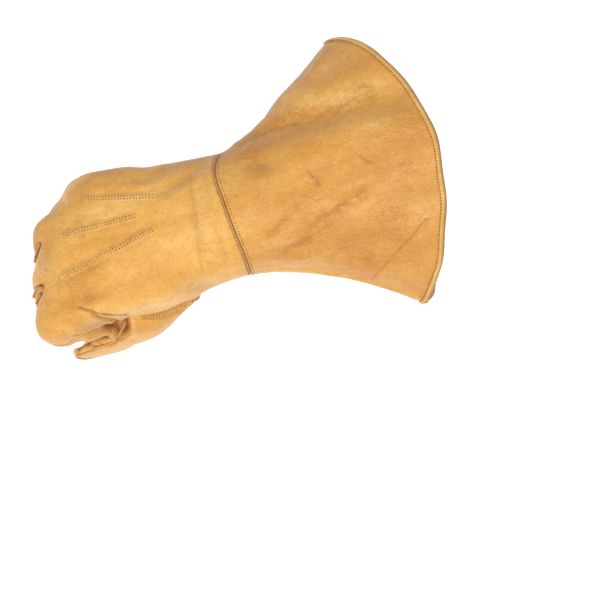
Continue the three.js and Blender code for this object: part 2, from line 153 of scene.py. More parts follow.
def path_distance(points: Array, path: Array) -> tuple[Array, Array]:
    """Distance of points to a broken line, and how far along it the nearest place is.

    Args:
        points: places, in two or three columns.
        path: corners of the line, in as many columns.

    Returns:
        The distances and the lengths along the line.
    """
    nearest = np.full(len(points), np.inf)
    along = np.zeros(len(points))
    done = 0.0
    for start, end in zip(path[:-1], path[1:]):
        way = end - start
        length = float(np.linalg.norm(way))
        share = np.clip((points - start) @ way / (length * length), 0.0, 1.0)
        away = np.linalg.norm(points - start - share[:, None] * way, axis=1)
        closer = away < nearest
        nearest[closer] = away[closer]
        along[closer] = done + share[closer] * length
        done += length
    return nearest, along


# ---- the photograph's two views

@dataclass(frozen=True)
class Sight:
    """One view of the photograph: how the glove's millimetres fall on pixels.

    right, up and toward are directions of the view in space, origin is the pixel of the frame's origin, and
    squeeze is the share by which lengths along the hand show shorter in the glove than in the view.
    """

    right: Triple
    up: Triple
    toward: Triple
    origin: Pair
    squeeze: float = 1.0

    def pixels(self, points: Array) -> Array:
        """Pixels on which places in millimetres fall."""
        across = points @ np.array(self.right) / (PIXEL * self.squeeze)
        up = points @ np.array(self.up) / PIXEL
        return np.stack([self.origin[0] + across, self.origin[1] - up], axis=1)

    def place(self, pixel: Sequence[float]) -> Array:
        """Place in millimetres on the plane through the origin that shows at a pixel."""
        across = (pixel[0] - self.origin[0]) * PIXEL * self.squeeze
        up = (self.origin[1] - pixel[1]) * PIXEL
        return across * np.array(self.right) + up * np.array(self.up)


BACK = Sight(
    right=(0.9816, -0.1874, -0.0363),
    up=(0.1908, 0.9641, 0.1865),
    toward=(0.0, -0.1899, 0.9818),
    origin=(236.0, 214.0),
)
SIDE = Sight(
    right=(1.0, 0.0, 0.0),
    up=(0.0, 0.0, 1.0),
    toward=(0.0, -1.0, 0.0),
    origin=(370.0, 430.0),
    squeeze=0.888,
)


@dataclass(frozen=True)
class Crease:
    """A fold, groove or ridge drawn over the leather, along pixels of one view.

    width and depth are in millimetres, a depth below zero is a ridge, lip is the share of the depth that stands
    up beside it, shade is how dark it is, heights is the range of z that it may touch, and facing how far the
    leather must at least be turned to the view.
    """

    path: Sequence[Pair]
    width: float
    depth: float
    lip: float = 0.25
    shade: float = 0.5
    sight: Sight = BACK
    heights: Pair = (-200.0, 200.0)
    facing: float = 0.05


def drawn(sight: Sight, rows: Sequence[tuple]) -> list[Crease]:
    """Creases of one view, from rows of path, width, depth, lip and shade, and of heights and facing if set."""
    return [Crease(*row[:5], sight, *row[5:]) for row in rows]


def stained_and_shaded(rows: Sequence[tuple], sight: Sight = BACK) -> list[Crease]:
    """Brown stains and painted shade along folds of the leather, along paths of one view, from rows of path, width and
    strength.
    """
    return [Crease(path, width, 0.0, 0.0, strength, sight) for path, width, strength in rows]


def sculpt(points: Array, normals: Array, creases: Sequence[Crease]) -> tuple[Array, Array]:
    """Presses creases into a surface.

    Args:
        points: places of the surface in millimetres.
        normals: its outward directions.
        creases: what to press.

    Returns:
        How far each place moves out, and how dark it gets.
    """
    move = np.zeros(len(points))
    dark = np.zeros(len(points))
    for crease in creases:
        path = np.array(crease.path, dtype=float)
        path = refined(path, CURVE_STEPS) if len(path) > 2 else path
        seen = crease.sight.pixels(points)
        margin = CREASE_REACH * crease.width / PIXEL
        near = np.all((seen > path.min(0) - margin) & (seen < path.max(0) + margin), axis=1)
        near &= normals @ np.array(crease.sight.toward) > crease.facing
        near &= (points[:, 2] > crease.heights[0]) & (points[:, 2] < crease.heights[1])
        chosen = np.nonzero(near)[0]
        if not len(chosen):
            continue
        away, along = path_distance(seen[chosen], path)
        away = away * PIXEL / crease.width
        length = np.linalg.norm(np.diff(path, axis=0), axis=1).sum()
        ends = ease(np.minimum(along, length - along) * PIXEL / (CREASE_FADE * crease.width) + CREASE_END)
        lips = bell(away, LIP_PLACE, LIP_SPREAD)
        move[chosen] += ends * crease.depth * (crease.lip * lips - bell(away, 0.0, 1.0))
        dark[chosen] = np.maximum(dark[chosen], ends * crease.shade * bell(away, 0.0, SHADE_SPREAD))
    return move, dark


# ---- meshes

def placed(name: str, data: bpy.types.ID) -> Piece:
    """Puts a new object into the scene, at the origin."""
    made = bpy.data.objects.new(name, data)
    bpy.context.scene.collection.objects.link(made)
    return made


def new_piece(name: str, points: Array, faces: Sequence[Sequence[int]]) -> Piece:
    """Makes a smooth mesh object from places in millimetres.

    Args:
        name: the piece's name.
        points: places in millimetres.
        faces: corners of each face.

    Returns:
        The object, at the origin.
    """
    mesh = bpy.data.meshes.new(name)
    mesh.from_pydata((np.asarray(points) * MM).tolist(), [], np.asarray(faces).tolist())
    mesh.validate()
    mesh.shade_smooth()
    return placed(name, mesh)


def set_values(piece: Piece, name: str, values: Array) -> None:
    """Stores a number for each vertex of a piece."""
    store = piece.data.attributes.new(name, "FLOAT", "POINT")
    store.data.foreach_set("value", np.asarray(values, dtype=np.float32))


def mesh_normals(points: Array, triangles: Array) -> Array:
    """Outward directions of a triangle mesh, one for each vertex."""
    a, b, c = (points[triangles[:, i]] for i in range(3))
    flat = np.cross(b - a, c - a)
    normals = np.zeros_like(points)
    for i in range(3):
        for axis in range(3):
            normals[:, axis] += np.bincount(triangles[:, i], flat[:, axis], len(points))
    return normals / np.maximum(np.linalg.norm(normals, axis=1, keepdims=True), 1e-9)


def edges_of(triangles: Array) -> Array:
    """The three edges of every triangle, in its own direction."""
    return np.concatenate([triangles[:, [0, 1]], triangles[:, [1, 2]], triangles[:, [2, 0]]])


def cut(points: Array, triangles: Array, column: int) -> tuple[Array, Array, Array]:
    """Cuts a triangle mesh where one column of its points passes zero.

    Args:
        points: one row for each vertex, places first and then anything that goes with them.
        triangles: corners of the triangles.
        column: the column that is compared with zero.

    Returns:
        The points with the new ones, the triangles where the column is below zero, and those above.
    """
    value = points[:, column]
    above = value > 0
    count = above[triangles].sum(axis=1)
    mixed = triangles[(count == 1) | (count == 2)]
    lone_side = above[mixed].sum(axis=1) == 1
    lone = np.argmax(above[mixed] == lone_side[:, None], axis=1)
    rows = np.arange(len(mixed))
    a, b, c = (mixed[rows, (lone + i) % 3] for i in range(3))
    edges = np.sort(np.concatenate([np.stack([a, b], 1), np.stack([a, c], 1)]), axis=1)
    unique, where = np.unique(edges, axis=0, return_inverse=True)
    where = where.reshape(-1)
    first, second = unique[:, 0], unique[:, 1]
    share = (value[first] / (value[first] - value[second]))[:, None]
    fresh = points[first] * (1 - share) + points[second] * share
    ab = where[:len(mixed)] + len(points)
    ac = where[len(mixed):] + len(points)
    tip = np.stack([a, ab, ac], 1)
    rest = np.concatenate([np.stack([ab, b, c], 1), np.stack([ab, c, ac], 1)])
    rest_above = np.concatenate([~lone_side, ~lone_side])
    below_list = [triangles[count == 0], tip[~lone_side], rest[~rest_above]]
    above_list = [triangles[count == 3], tip[lone_side], rest[rest_above]]
    return np.concatenate([points, fresh]), np.concatenate(below_list), np.concatenate(above_list)


def finer(points: Array, triangles: Array, marked: Array) -> tuple[Array, Array]:
    """Halves the edges whose two ends are marked.

    Args:
        points: places of the vertices.
        triangles: corners of the triangles.
        marked: which vertices ask for finer triangles.

    Returns:
        The points with the new ones, and the new triangles.
    """
    edges = np.sort(edges_of(triangles), axis=1)
    unique, where = np.unique(edges, axis=0, return_inverse=True)
    halved = marked[unique[:, 0]] & marked[unique[:, 1]]
    number = np.full(len(unique), -1)
    number[halved] = len(points) + np.arange(halved.sum())
    middles = points[unique[halved]].mean(axis=1)
    ab, bc, ca = number[where.reshape(3, -1)]
    a, b, c = triangles.T
    count = (ab >= 0).astype(int) + (bc >= 0) + (ca >= 0)
    made = [triangles[count == 0]]
    whole = count == 3
    for corners in ((a, ab, ca), (ab, b, bc), (ca, bc, c), (ab, bc, ca)):
        made.append(np.stack([corner[whole] for corner in corners], 1))
    for p, q, r, pq, qr, rp in ((a, b, c, ab, bc, ca), (b, c, a, bc, ca, ab), (c, a, b, ca, ab, bc)):
        one = (count == 1) & (pq >= 0)
        two = (count == 2) & (rp < 0)
        for corners, chosen in (((p, pq, r), one), ((pq, q, r), one),
                                ((pq, q, qr), two), ((p, pq, qr), two), ((p, qr, r), two)):
            made.append(np.stack([corner[chosen] for corner in corners], 1))
    return np.concatenate([points, middles]), np.concatenate(made)


def used_only(points: Array, triangles: Array) -> tuple[Array, Array]:
    """Drops the points that no triangle uses."""
    kept, renumbered = np.unique(triangles, return_inverse=True)
    return points[kept], renumbered.reshape(triangles.shape)


def border_edges(triangles: Array) -> Array:
    """Edges that only one triangle has, in that triangle's own direction."""
    edges = edges_of(triangles)
    size = int(triangles.max()) + 1
    code = edges[:, 0] * size + edges[:, 1]
    back = edges[:, 1] * size + edges[:, 0]
    return edges[~np.isin(code, back)]


def walled(count: int, triangles: Array) -> Array:
    """Triangles of a closed wall between a surface of so many points and its inner copy.

    Args:
        count: number of the outside's points.
        triangles: the outside's triangles.

    Returns:
        Triangles over the outside's points followed by the inside's, in the same order.
    """
    edges = border_edges(triangles)
    a, b = edges[:, 0], edges[:, 1]
    sides = np.concatenate([np.stack([b, a, a + count], 1), np.stack([b, a + count, b + count], 1)])
    return np.concatenate([triangles, triangles[:, ::-1] + count, sides])


def ring_faces(rings: int, across: int) -> Array:
    """Quads of a closed tube of rings, each of so many points, whose last ring meets the first."""
    ring, point = np.meshgrid(np.arange(rings), np.arange(across), indexing="ij")
    after, beside = (ring + 1) % rings, (point + 1) % across
    corners = [ring * across + point, after * across + point, after * across + beside, ring * across + beside]
    return np.stack([corner.ravel() for corner in corners], axis=1)


def facing_out(points: Array, faces: Array) -> Array:
    """Turns all the faces of a closed mesh round if they point inwards."""
    total = 0.0
    for i in range(1, faces.shape[1] - 1):
        a, b, c = points[faces[:, 0]], points[faces[:, i]], points[faces[:, i + 1]]
        total += float(np.einsum("ij,ij->", a, np.cross(b, c)))
    return faces if total > 0 else faces[:, ::-1]


# ---- shader graphs

class Signal:
    """A shader socket that takes part in sums, differences and products as a number does."""

    def __init__(self, graph: "Graph", socket: Socket) -> None:
        """Keeps the socket and the graph that it belongs to."""
        self.graph = graph
        self.socket = socket

    def __add__(self, other: "Level") -> "Signal":
        """Sum."""
        return self.graph.math("ADD", self, other)

    def __radd__(self, other: float) -> "Signal":
        """Sum with a number in front."""
        return self.graph.math("ADD", other, self)

    def __sub__(self, other: "Level") -> "Signal":
        """Difference."""
        return self.graph.math("SUBTRACT", self, other)

    def __rsub__(self, other: float) -> "Signal":
        """Difference from a number."""
        return self.graph.math("SUBTRACT", other, self)

    def __mul__(self, other: "Level") -> "Signal":
        """Product."""
        return self.graph.math("MULTIPLY", self, other)

    def __rmul__(self, other: float) -> "Signal":
        """Product with a number in front."""
        return self.graph.math("MULTIPLY", other, self)

    def clamped(self) -> "Signal":
        """The value kept between 0 and 1."""
        return self.graph.math("MINIMUM", self.graph.math("MAXIMUM", self, 0.0), 1.0)

    def step(self, low: float, high: float) -> "Signal":
        """Smooth step from 0 at low to 1 at high."""
        settings = {"interpolation_type": "SMOOTHSTEP"}
        inputs = {"Value": self, "From Min": low, "From Max": high}
        return self.graph.node("ShaderNodeMapRange", settings, inputs)


Level = Union[Signal, float]
Colour = Union[Signal, tuple[float, float, float, float]]


def srgb(red: float, green: float, blue: float) -> tuple[float, float, float, float]:
    """Turns a colour of 0 to 255 on a screen into Blender's linear colour."""
    def line(value: float) -> float:
        """One channel."""
        share = value / 255
        return share / 12.92 if share <= 0.04045 else ((share + 0.055) / 1.055) ** 2.4
    return line(red), line(green), line(blue), 1.0


def filled(tree: bpy.types.NodeTree, kind: str, settings: dict, inputs: dict) -> bpy.types.Node:
    """Adds a node to a tree.

    Args:
        tree: the material's or the geometry's tree.
        kind: the node's type.
        settings: what is set before its sockets.
        inputs: values or sockets that feed it, by name or number.

    Returns:
        The node.
    """
    made = tree.nodes.new(kind)
    for key, value in settings.items():
        setattr(made, key, value)
    for key, value in inputs.items():
        if isinstance(value, Socket):
            tree.links.new(value, made.inputs[key])
        else:
            made.inputs[key].default_value = value
    return made


class Graph:
    """The nodes of one material."""

    def __init__(self, name: str) -> None:
        """Starts an empty material."""
        self.material = bpy.data.materials.new(name)
        self.material.use_nodes = True
        self.tree = self.material.node_tree
        self.tree.nodes.clear()
        self.places = self.node("ShaderNodeTexCoord", {}, {}, "Object")

    def node(self, kind: str, settings: dict, inputs: dict, output: Union[str, int] = 0) -> Signal:
        """Adds a node.

        Args:
            kind: the node's type.
            settings: what is set before its sockets.
            inputs: values or signals of its sockets, by name or number.
            output: the socket that is wanted.

        Returns:
            The output as a signal.
        """
        inputs = {key: value.socket if isinstance(value, Signal) else value for key, value in inputs.items()}
        return Signal(self, filled(self.tree, kind, settings, inputs).outputs[output])

    def math(self, operation: str, *values: Level) -> Signal:
        """Adds a Math node."""
        return self.node("ShaderNodeMath", {"operation": operation}, dict(enumerate(values)))

    def mix(self, factor: Level, first: Colour, second: Colour) -> Signal:
        """Mixes two colours."""
        return self.node("ShaderNodeMix", {"data_type": "RGBA"}, {0: factor, 6: first, 7: second}, 2)

    def spread(self, scale: Triple, turn: float = 0.0) -> Signal:
        """Object coordinates stretched along the axes, after a turn about Z in degrees."""
        inputs = {"Vector": self.places, "Rotation": (0.0, 0.0, math.radians(turn)), "Scale": scale}
        return self.node("ShaderNodeMapping", {"vector_type": "POINT"}, inputs)

    def noise(self, vector: Signal, scale: float, detail: float = 3.0, rough: float = 0.55) -> Signal:
        """Cloudy noise around 0.5."""
        inputs = {"Vector": vector, "Scale": scale, "Detail": detail, "Roughness": rough}
        return self.node("ShaderNodeTexNoise", {}, inputs)

    def clouds(self, fineness: float, detail: float, rough: float = 0.55) -> Signal:
        """Noise that is as long as it is wide; fineness is its patches to a metre."""
        return self.noise(self.spread((fineness,) * 3), 1.0, detail, rough)

    def cells(self, kind: str, fineness: float, **inputs: float) -> Signal:
        """Grain of small cells of one kind, in cells to a metre."""
        inputs = {"Vector": self.spread((1.0, 1.0, 1.0)), "Scale": fineness, **inputs}
        return self.node("ShaderNodeTexVoronoi", {"feature": kind}, inputs)

    def stored(self, name: str) -> Signal:
        """A number that the mesh stores for each vertex."""
        return self.node("ShaderNodeAttribute", {"attribute_name": name}, {}, "Fac")

    def bump(self, height: Level, distance: float, strength: float, under: Optional[Signal] = None) -> Signal:
        """Raises the surface's shading by a height."""
        inputs = {"Height": height, "Distance": distance, "Strength": strength}
        if under is not None:
            inputs["Normal"] = under
        return self.node("ShaderNodeBump", {}, inputs)

    def finish(self, inputs: dict) -> Material:
        """Closes the graph with one surface shader and gives the material."""
        shader = self.node("ShaderNodeBsdfPrincipled", {}, inputs)
        output = self.tree.nodes.new("ShaderNodeOutputMaterial")
        self.tree.links.new(shader.socket, output.inputs["Surface"])
        return self.material


# ---- finishes

@dataclass(frozen=True)
class Mark:
    """A scratch or discoloured spot on the leather, from one pixel of the back view to another; width in millimetres.
    """

    start: Pair
    end: Pair
    width: float
    strength: float
    broken: float = 0.5


@dataclass(frozen=True)
class LeatherFinish:
    """Golden tan grain leather with darker streaks, paler rubbed places with painted highlights, painted shade in
    creases and hollows, and fine grain.

    Scales are patches to a metre along, across and up the glove. The smudge colour is the brown of its stains and of
    the painted shade along its folds, the stain colour that of scratches and of the painted shade in fine wrinkles,
    the crease colour that of the painted shade in creases, slits, hollows and seams, and the pit colour the painted
    shadow at the bottom of deep folds.
    """

    name: str
    tan: tuple = srgb(232, 174, 84)
    deep: tuple = srgb(192, 126, 48)
    pale: tuple = srgb(246, 204, 128)
    crease: tuple = srgb(128, 76, 30)
    stain_and_shade: tuple = srgb(190, 104, 52)
    smudge_and_shade: tuple = srgb(170, 104, 40)
    deep_fold_shade: tuple = srgb(78, 42, 20)
    streak_scale: Triple = (9.0, 34.0, 34.0)
    wrinkle_scale: Triple = (85.0, 240.0, 240.0)
    speck_scale: Triple = (130.0, 330.0, 330.0)
    pore_scale: Triple = (380.0, 620.0, 620.0)
    grain_fineness: float = 760.0
    pore_fineness: float = 1500.0
    streak_turn: float = 0.0
    roughness: float = 0.5
    gloss: float = 0.38
    sheen: float = 0.12
    mottling: float = 0.7
    marks: tuple = ()

    def mark_mask(self, graph: Graph, mark: Mark) -> Signal:
        """How strongly one scratch shows at a place.

        Args:
            graph: the material's nodes.
            mark: the scratch.

        Returns:
            A value from 0 to the scratch's strength.
        """
        start, end = BACK.place(mark.start) * MM, BACK.place(mark.end) * MM
        way = end - start
        length = float(np.linalg.norm(way))
        way /= length
        side = np.cross(np.array(BACK.toward), way)
        offset = graph.node("ShaderNodeVectorMath", {"operation": "SUBTRACT"}, {0: graph.places, 1: tuple(start)})
        dot = {"operation": "DOT_PRODUCT"}
        along = graph.node("ShaderNodeVectorMath", dot, {0: offset, 1: tuple(way)}, "Value")
        across = graph.node("ShaderNodeVectorMath", dot, {0: offset, 1: tuple(side)}, "Value")
        above = graph.node("ShaderNodeVectorMath", dot, {0: graph.places, 1: BACK.toward}, "Value")
        wobble = (graph.clouds(60.0, 3.0) - 0.5) * (3.0 * mark.width * MM)
        away = graph.math("ABSOLUTE", across + wobble)
        beyond = graph.math("MAXIMUM", graph.math("ABSOLUTE", along - length / 2) - length / 2, 0.0)
        body = 1.0 - (away + beyond * 0.5).step(0.0, mark.width * MM * 1.2)
        gaps = graph.clouds(220.0, 2.0).step(mark.broken - 0.12, mark.broken + 0.1)
        return body * gaps * above.step(0.0, 0.01) * mark.strength

    def material(self) -> Material:
        """Builds the leather's material."""
        graph = Graph(self.name)
        streaks = graph.noise(graph.spread(self.streak_scale, self.streak_turn), 1.0, 5.0, 0.6)
        clouds = graph.clouds(16.0, 3.0)
        mottle = graph.clouds(150.0, 4.0, 0.65)
        grain = graph.cells("SMOOTH_F1", self.grain_fineness, Smoothness=0.6)
        fine = graph.noise(graph.spread((1.0, 1.0, 1.0)), self.pore_fineness, 2.0)
        wrinkle = graph.noise(graph.spread(self.wrinkle_scale, self.streak_turn), 1.0, 2.0)
        wrinkle = 1.0 - graph.math("ABSOLUTE", wrinkle - 0.5).step(0.0, 0.035)
        wrinkle = wrinkle * clouds.step(0.42, 0.66)

        dark = streaks.step(0.42, 0.74) * 0.62 + clouds.step(0.45, 0.8) * 0.3
        colour = graph.mix(dark.clamped(), self.tan, self.deep)
        # paler streaks, and the rub attribute: pale raw edges, rubbed wear and painted highlight on proud places and
        # ridges
        light = (1.0 - streaks).step(0.5, 0.78) * 0.65 + graph.stored("rub_and_highlight") * 0.8
        colour = graph.mix(light.clamped(), colour, self.pale)
        colour = graph.mix(((mottle - 0.5) * self.mottling + 0.12).clamped(), colour, self.deep)
        # painted shade in the fine wrinkle lines, mixed toward the stain colour
        colour = graph.mix(wrinkle * 0.22, colour, self.stain_and_shade)
        specks = graph.noise(graph.spread(self.speck_scale, self.streak_turn), 1.0, 5.0, 0.75)
        # brown stains, and painted shade along fold valleys, from the stain attribute, broken up by specks
        patchy = graph.stored("stain_and_shade") * (specks.step(0.36, 0.64) * 0.6 + 0.22)
        colour = graph.mix(patchy.clamped(), colour, self.smudge_and_shade)
        for mark in self.marks:
            colour = graph.mix(self.mark_mask(graph, mark), colour, self.stain_and_shade)
        pores = graph.noise(graph.spread(self.pore_scale, self.streak_turn), 1.0, 2.0, 0.7)
        colour = graph.mix(pores.step(0.52, 0.76) * 0.55, colour, self.deep)
        colour = graph.mix((1.0 - pores).step(0.55, 0.8) * 0.4, colour, self.pale)
        # painted shade of creases, slits, hollows and seams, read from the shade attribute and mixed toward the crease
        # colour
        wear_and_shade = (graph.stored("shade") * (0.75 + mottle * 0.5)).clamped()
        colour = graph.mix(wear_and_shade, colour, self.crease)
        # painted shadow at the bottom of the deepest folds and slits, where the shade attribute is above 0.8
        colour = graph.mix(graph.stored("shade").step(0.8, 1.0) * 0.55, colour, self.deep_fold_shade)

        height = 1.0 - grain * 0.5 + fine * 0.2
        bumped = graph.bump(height, 0.0004, 0.6)
        bumped = graph.bump(pores, 0.0006, 0.5, bumped)
        bumped = graph.bump(mottle, 0.0008 + 0.0003 * self.mottling, 0.4, bumped)
        bumped = graph.bump(1.0 - wrinkle, 0.0007, 0.45, bumped)
        rough = (mottle - 0.5) * 0.25 + graph.stored("shade") * 0.2 + self.roughness
        return graph.finish({
            "Base Color": colour,
            "Roughness": rough.clamped(),
            "Normal": bumped,
            "Specular IOR Level": self.gloss,
            "Sheen Weight": self.sheen,
            "Sheen Roughness": 0.5,
        })


@dataclass(frozen=True)
class SuedeFinish:
    """Raw flesh side of the leather: short nap, uneven tan, pale where it is cut."""

    name: str
    tan: tuple = srgb(214, 160, 84)
    deep: tuple = srgb(178, 122, 54)
    pale: tuple = srgb(244, 200, 132)
    # pressed is the colour of the painted shade in pressed lines and underneath
    pressed: tuple = srgb(92, 52, 22)

    def material(self) -> Material:
        """Builds the suede's material."""
        graph = Graph(self.name)
        clouds = graph.clouds(60.0, 4.0)
        nap = graph.clouds(900.0, 3.0, 0.7)
        pores = graph.cells("F1", 520.0)
        colour = graph.mix(clouds.step(0.35, 0.75), self.tan, self.deep)
        colour = graph.mix(((nap - 0.4) * 1.8).clamped(), colour, self.pale)
        colour = graph.mix(((0.55 - nap) * 1.8).clamped(), colour, self.deep)
        colour = graph.mix((graph.stored("rub_and_highlight") * (0.6 + nap * 0.6)).clamped(), colour, self.pale)
        # painted shade from the shade attribute
        colour = graph.mix((graph.stored("shade") * (0.7 + nap * 0.5)).clamped(), colour, self.pressed)
        bumped = graph.bump(nap, 0.001, 0.9)
        bumped = graph.bump(pores, 0.0006, 0.4, bumped)
        return graph.finish({
            "Base Color": colour,
            "Roughness": (nap * 0.2 + 0.78).clamped(),
            "Normal": bumped,
            "Specular IOR Level": 0.2,
            "Sheen Weight": 0.08,
            "Sheen Roughness": 0.6,
        })


@dataclass(frozen=True)
class ThreadFinish:
    """Twisted sewing thread, or the painted shade of a needle hole."""

    name: str
    light: tuple
    dark: tuple
    roughness: float = 0.7

    def material(self) -> Material:
        """Builds the thread's material."""
        graph = Graph(self.name)
        twist = graph.clouds(2600.0, 1.0)
        tone = graph.clouds(70.0, 2.0)
        colour = graph.mix((twist.step(0.35, 0.65) * 0.6 + tone * 0.3).clamped(), self.light, self.dark)
        return graph.finish({
            "Base Color": colour,
            "Roughness": (twist * 0.15 + self.roughness).clamped(),
            "Normal": graph.bump(twist, 0.0002, 0.5),
        })


@dataclass(frozen=True)
class SteelFinish:
    """Black lacquered steel wire, rubbed a little."""

    name: str
    base: tuple = srgb(26, 26, 28)
    wear_and_shade: tuple = srgb(96, 94, 92)

    def material(self) -> Material:
        """Builds the steel's material."""
        graph = Graph(self.name)
        scuffs = graph.clouds(400.0, 4.0, 0.7)
        return graph.finish({
            "Base Color": graph.mix(scuffs.step(0.58, 0.72), self.base, self.wear_and_shade),
            "Metallic": 0.85,
            "Roughness": (scuffs * 0.3 + 0.12).clamped(),
            "Normal": graph.bump(scuffs, 0.0002, 0.25),
        })


# ---- space and skins

@dataclass
class Volume:
    """A block of space in millimetres, where distances to soft bodies are worked out and skinned."""

    low: Triple
    high: Triple
    cell: float
    reach: float = 13.0
    axes: list = field(init=False)

    def __post_init__(self) -> None:
        """Lays out the cells."""
        spans = zip(self.low, self.high)
        self.axes = [np.arange(start, end, self.cell, dtype=np.float32) for start, end in spans]

    def empty(self) -> Array:
        """A field that is far from everything."""
        return np.full([len(axis) for axis in self.axes], self.reach, np.float32)

    def grids(self) -> tuple[Array, Array, Array]:
        """Coordinates that spread over the block."""
        return self.axes[0][:, None, None], self.axes[1][None, :, None], self.axes[2][None, None, :]

    def chain(self, joints: Array, power: float = 2.3) -> Array:
        """Distance to a row of rounded balls.

        Args:
            joints: centre and half sizes of each ball in millimetres, in six columns.
            power: how square the balls are; 2 is an ellipsoid.

        Returns:
            The field, below zero inside.
        """
        found = self.empty()
        for joint in joints:
            window, offsets = [], []
            for axis, place, half in zip(self.axes, joint[:3], joint[3:]):
                start = int(np.searchsorted(axis, place - half - self.reach))
                end = int(np.searchsorted(axis, place + half + self.reach))
                window.append(slice(start, end))
                offsets.append(axis[start:end] - np.float32(place))
            x, y, z = offsets[0][:, None, None], offsets[1][None, :, None], offsets[2][None, None, :]
            size = np.abs(x / joint[3]) ** power + np.abs(y / joint[4]) ** power + np.abs(z / joint[5]) ** power
            size = (size + TINY) ** (1 / power)
            length = np.sqrt(x * x + y * y + z * z + 1e-5)
            part = found[tuple(window)]
            np.minimum(part, length - length / size, out=part)
        return found

    def read(self, values: Array, points: Array) -> Array:
        """Field values at places, between the cells."""
        spot = (points - np.array(self.low)) / self.cell
        base = np.clip(np.floor(spot).astype(int), 0, np.array(values.shape) - 2)
        part = np.clip(spot - base, 0, 1)
        total = np.zeros(len(points))
        for corner in np.ndindex(2, 2, 2):
            weight = np.prod(np.where(np.array(corner) == 1, part, 1 - part), axis=1)
            x, y, z = (base + np.array(corner)).T
            total += weight * values[x, y, z]
        return total

    def skin(self, values: Array) -> tuple[Array, Array]:
        """Surface of the body whose inside is below zero, as points and triangles that face out."""
        grid = openvdb.FloatGrid(self.reach)
        grid.copyFromArray(np.ascontiguousarray(values))
        points, quads = grid.convertToQuads(isovalue=0.0)
        points = points * self.cell + np.array(self.low)
        a, b, c, d = quads.astype(int).T
        short = np.linalg.norm(points[a] - points[c], axis=1) < np.linalg.norm(points[b] - points[d], axis=1)
        one = np.where(short[:, None], np.stack([a, b, c], 1), np.stack([a, b, d], 1))
        two = np.where(short[:, None], np.stack([a, c, d], 1), np.stack([b, c, d], 1))
        triangles = np.concatenate([one, two])
        return points.astype(float), facing_out(points, triangles)


def joined(first: Array, second: Array, softness: Number) -> Array:
    """Union of two fields with a soft valley between them; softness is its size in millimetres."""
    near = np.maximum(softness - np.abs(first - second), 0) / softness
    return np.minimum(first, second) - near * near * softness / 4


def growing(place: Array, sizes: Sequence[float]) -> Array:
    """Size that grows smoothly along an axis, from its least, what is added, where that starts and its span."""
    least, more, start, span = sizes
    return (least + more * ease((place - start) / span)).astype(np.float32)


@dataclass(frozen=True)
class Seam:
    """A line on the leather that is sewn: places and outward directions."""

    points: Array
    out: Array
    closed: bool = False


class Skin:
    """Triangles of a finished outside, on which seams are drawn. A line ends where it would jump, in millimetres."""

    jump = 3.5

    def __init__(self, points: Array, triangles: Array) -> None:
        """Keeps the outside for ray casts."""
        self.tree = BVHTree.FromPolygons(points.tolist(), triangles.tolist())

    def seam(self, sight: Sight, path: Sequence[Pair], aside: float = 0.0, evened: int = 2) -> Seam:
        """Draws a line of one view on the skin.

        Args:
            sight: the view.
            path: pixels that it passes through.
            aside: how far it runs beside them, in pixels.
            evened: how many times its places are smoothed.

        Returns:
            The line's places and outward directions.
        """
        line = refined(np.array(path), 16) if len(path) > 2 else np.linspace(path[0], path[1], 24)
        way = unit(np.gradient(line, axis=0))
        line = line + aside * np.stack([-way[:, 1], way[:, 0]], axis=1)
        toward = Vector(sight.toward)
        points, out = [], []
        for pixel in line:
            start = Vector(sight.place(pixel)) + toward * 300
            hit, normal, _, _ = self.tree.ray_cast(start, -toward)
            if hit is not None:
                points.append(hit)
                out.append(normal)
        points, out = np.array(points), np.array(out)
        jumps = np.nonzero(np.linalg.norm(np.diff(points, axis=0), axis=1) > self.jump)[0] + 1
        ends = [0, *jumps, len(points)]
        first = int(np.argmax(np.diff(ends)))
        points, out = points[ends[first]:ends[first + 1]], out[ends[first]:ends[first + 1]]
        for rows, times in ((points, evened), (out, max(12, evened))):
            for _ in range(times):
                rows[1:-1] = (rows[:-2] + rows[1:-1] * 2 + rows[2:]) / 4
        return Seam(points, unit(out))


# ---- wrist line

@dataclass(frozen=True)
class WristLine:
    """Seam between hand and cuff, which every piece near it starts from. Millimetres."""

    half_width: float = 46.0
    half_height: float = 49.0
    sway: float = 10.0
    leather: float = 1.6
    gap: float = 0.3
    welt: float = 1.4
    sways: tuple = (0.25, -0.55, -1.0, -0.75, -0.35, 0.05, 0.15, -0.1, 0.1, 0.3, 0.3, 0.3)

    def reach(self, angle: Array) -> Array:
        """How far toward the cuff the seam lies at an angle."""
        return self.sway * around(self.sways, angle)

    def point(self, angle: Array, offset: Number = 0.0) -> Array:
        """Places of the seam, moved out by an offset."""
        turn = np.radians(angle)
        across = (self.half_width + offset) * np.cos(turn)
        up = (self.half_height + offset) * np.sin(turn)
        return np.stack([self.reach(angle), across, up], axis=-1)


# ---- hand and thumb

BACK_POINTS = (
    ((81, 199), (116, 198.5), (152, 197)),
    ((58, 237), (96, 227), (135, 217)),
    ((59, 279), (105, 256), (152, 231)),
)
THUMB_OUTSEAM = ((223, 473), (212, 481), (194, 496), (181, 505), (169, 514), (160, 524), (158.5, 535), (163, 543.5),
                 (172, 550), (184, 552), (198, 550.5), (210, 546))
FINGER_OUTSEAMS = (
    ((40, 243), (37, 250), (34.5, 257), (34, 262)),
    ((44, 288), (38, 289), (34, 295), (33, 300)),
    ((41, 294), (37, 300), (34, 306), (33.5, 311)),
)
THUMB_SEAM = ((227, 462), (240, 459.5), (264, 465), (284, 468), (300, 473), (309, 480), (314, 490.5))
THUMB_BACK_SEAM = ((139, 316), (160, 316), (175, 310), (190, 303), (202, 295))
BESIDE = 1.6  # pixels from a seam to the stitches beside it
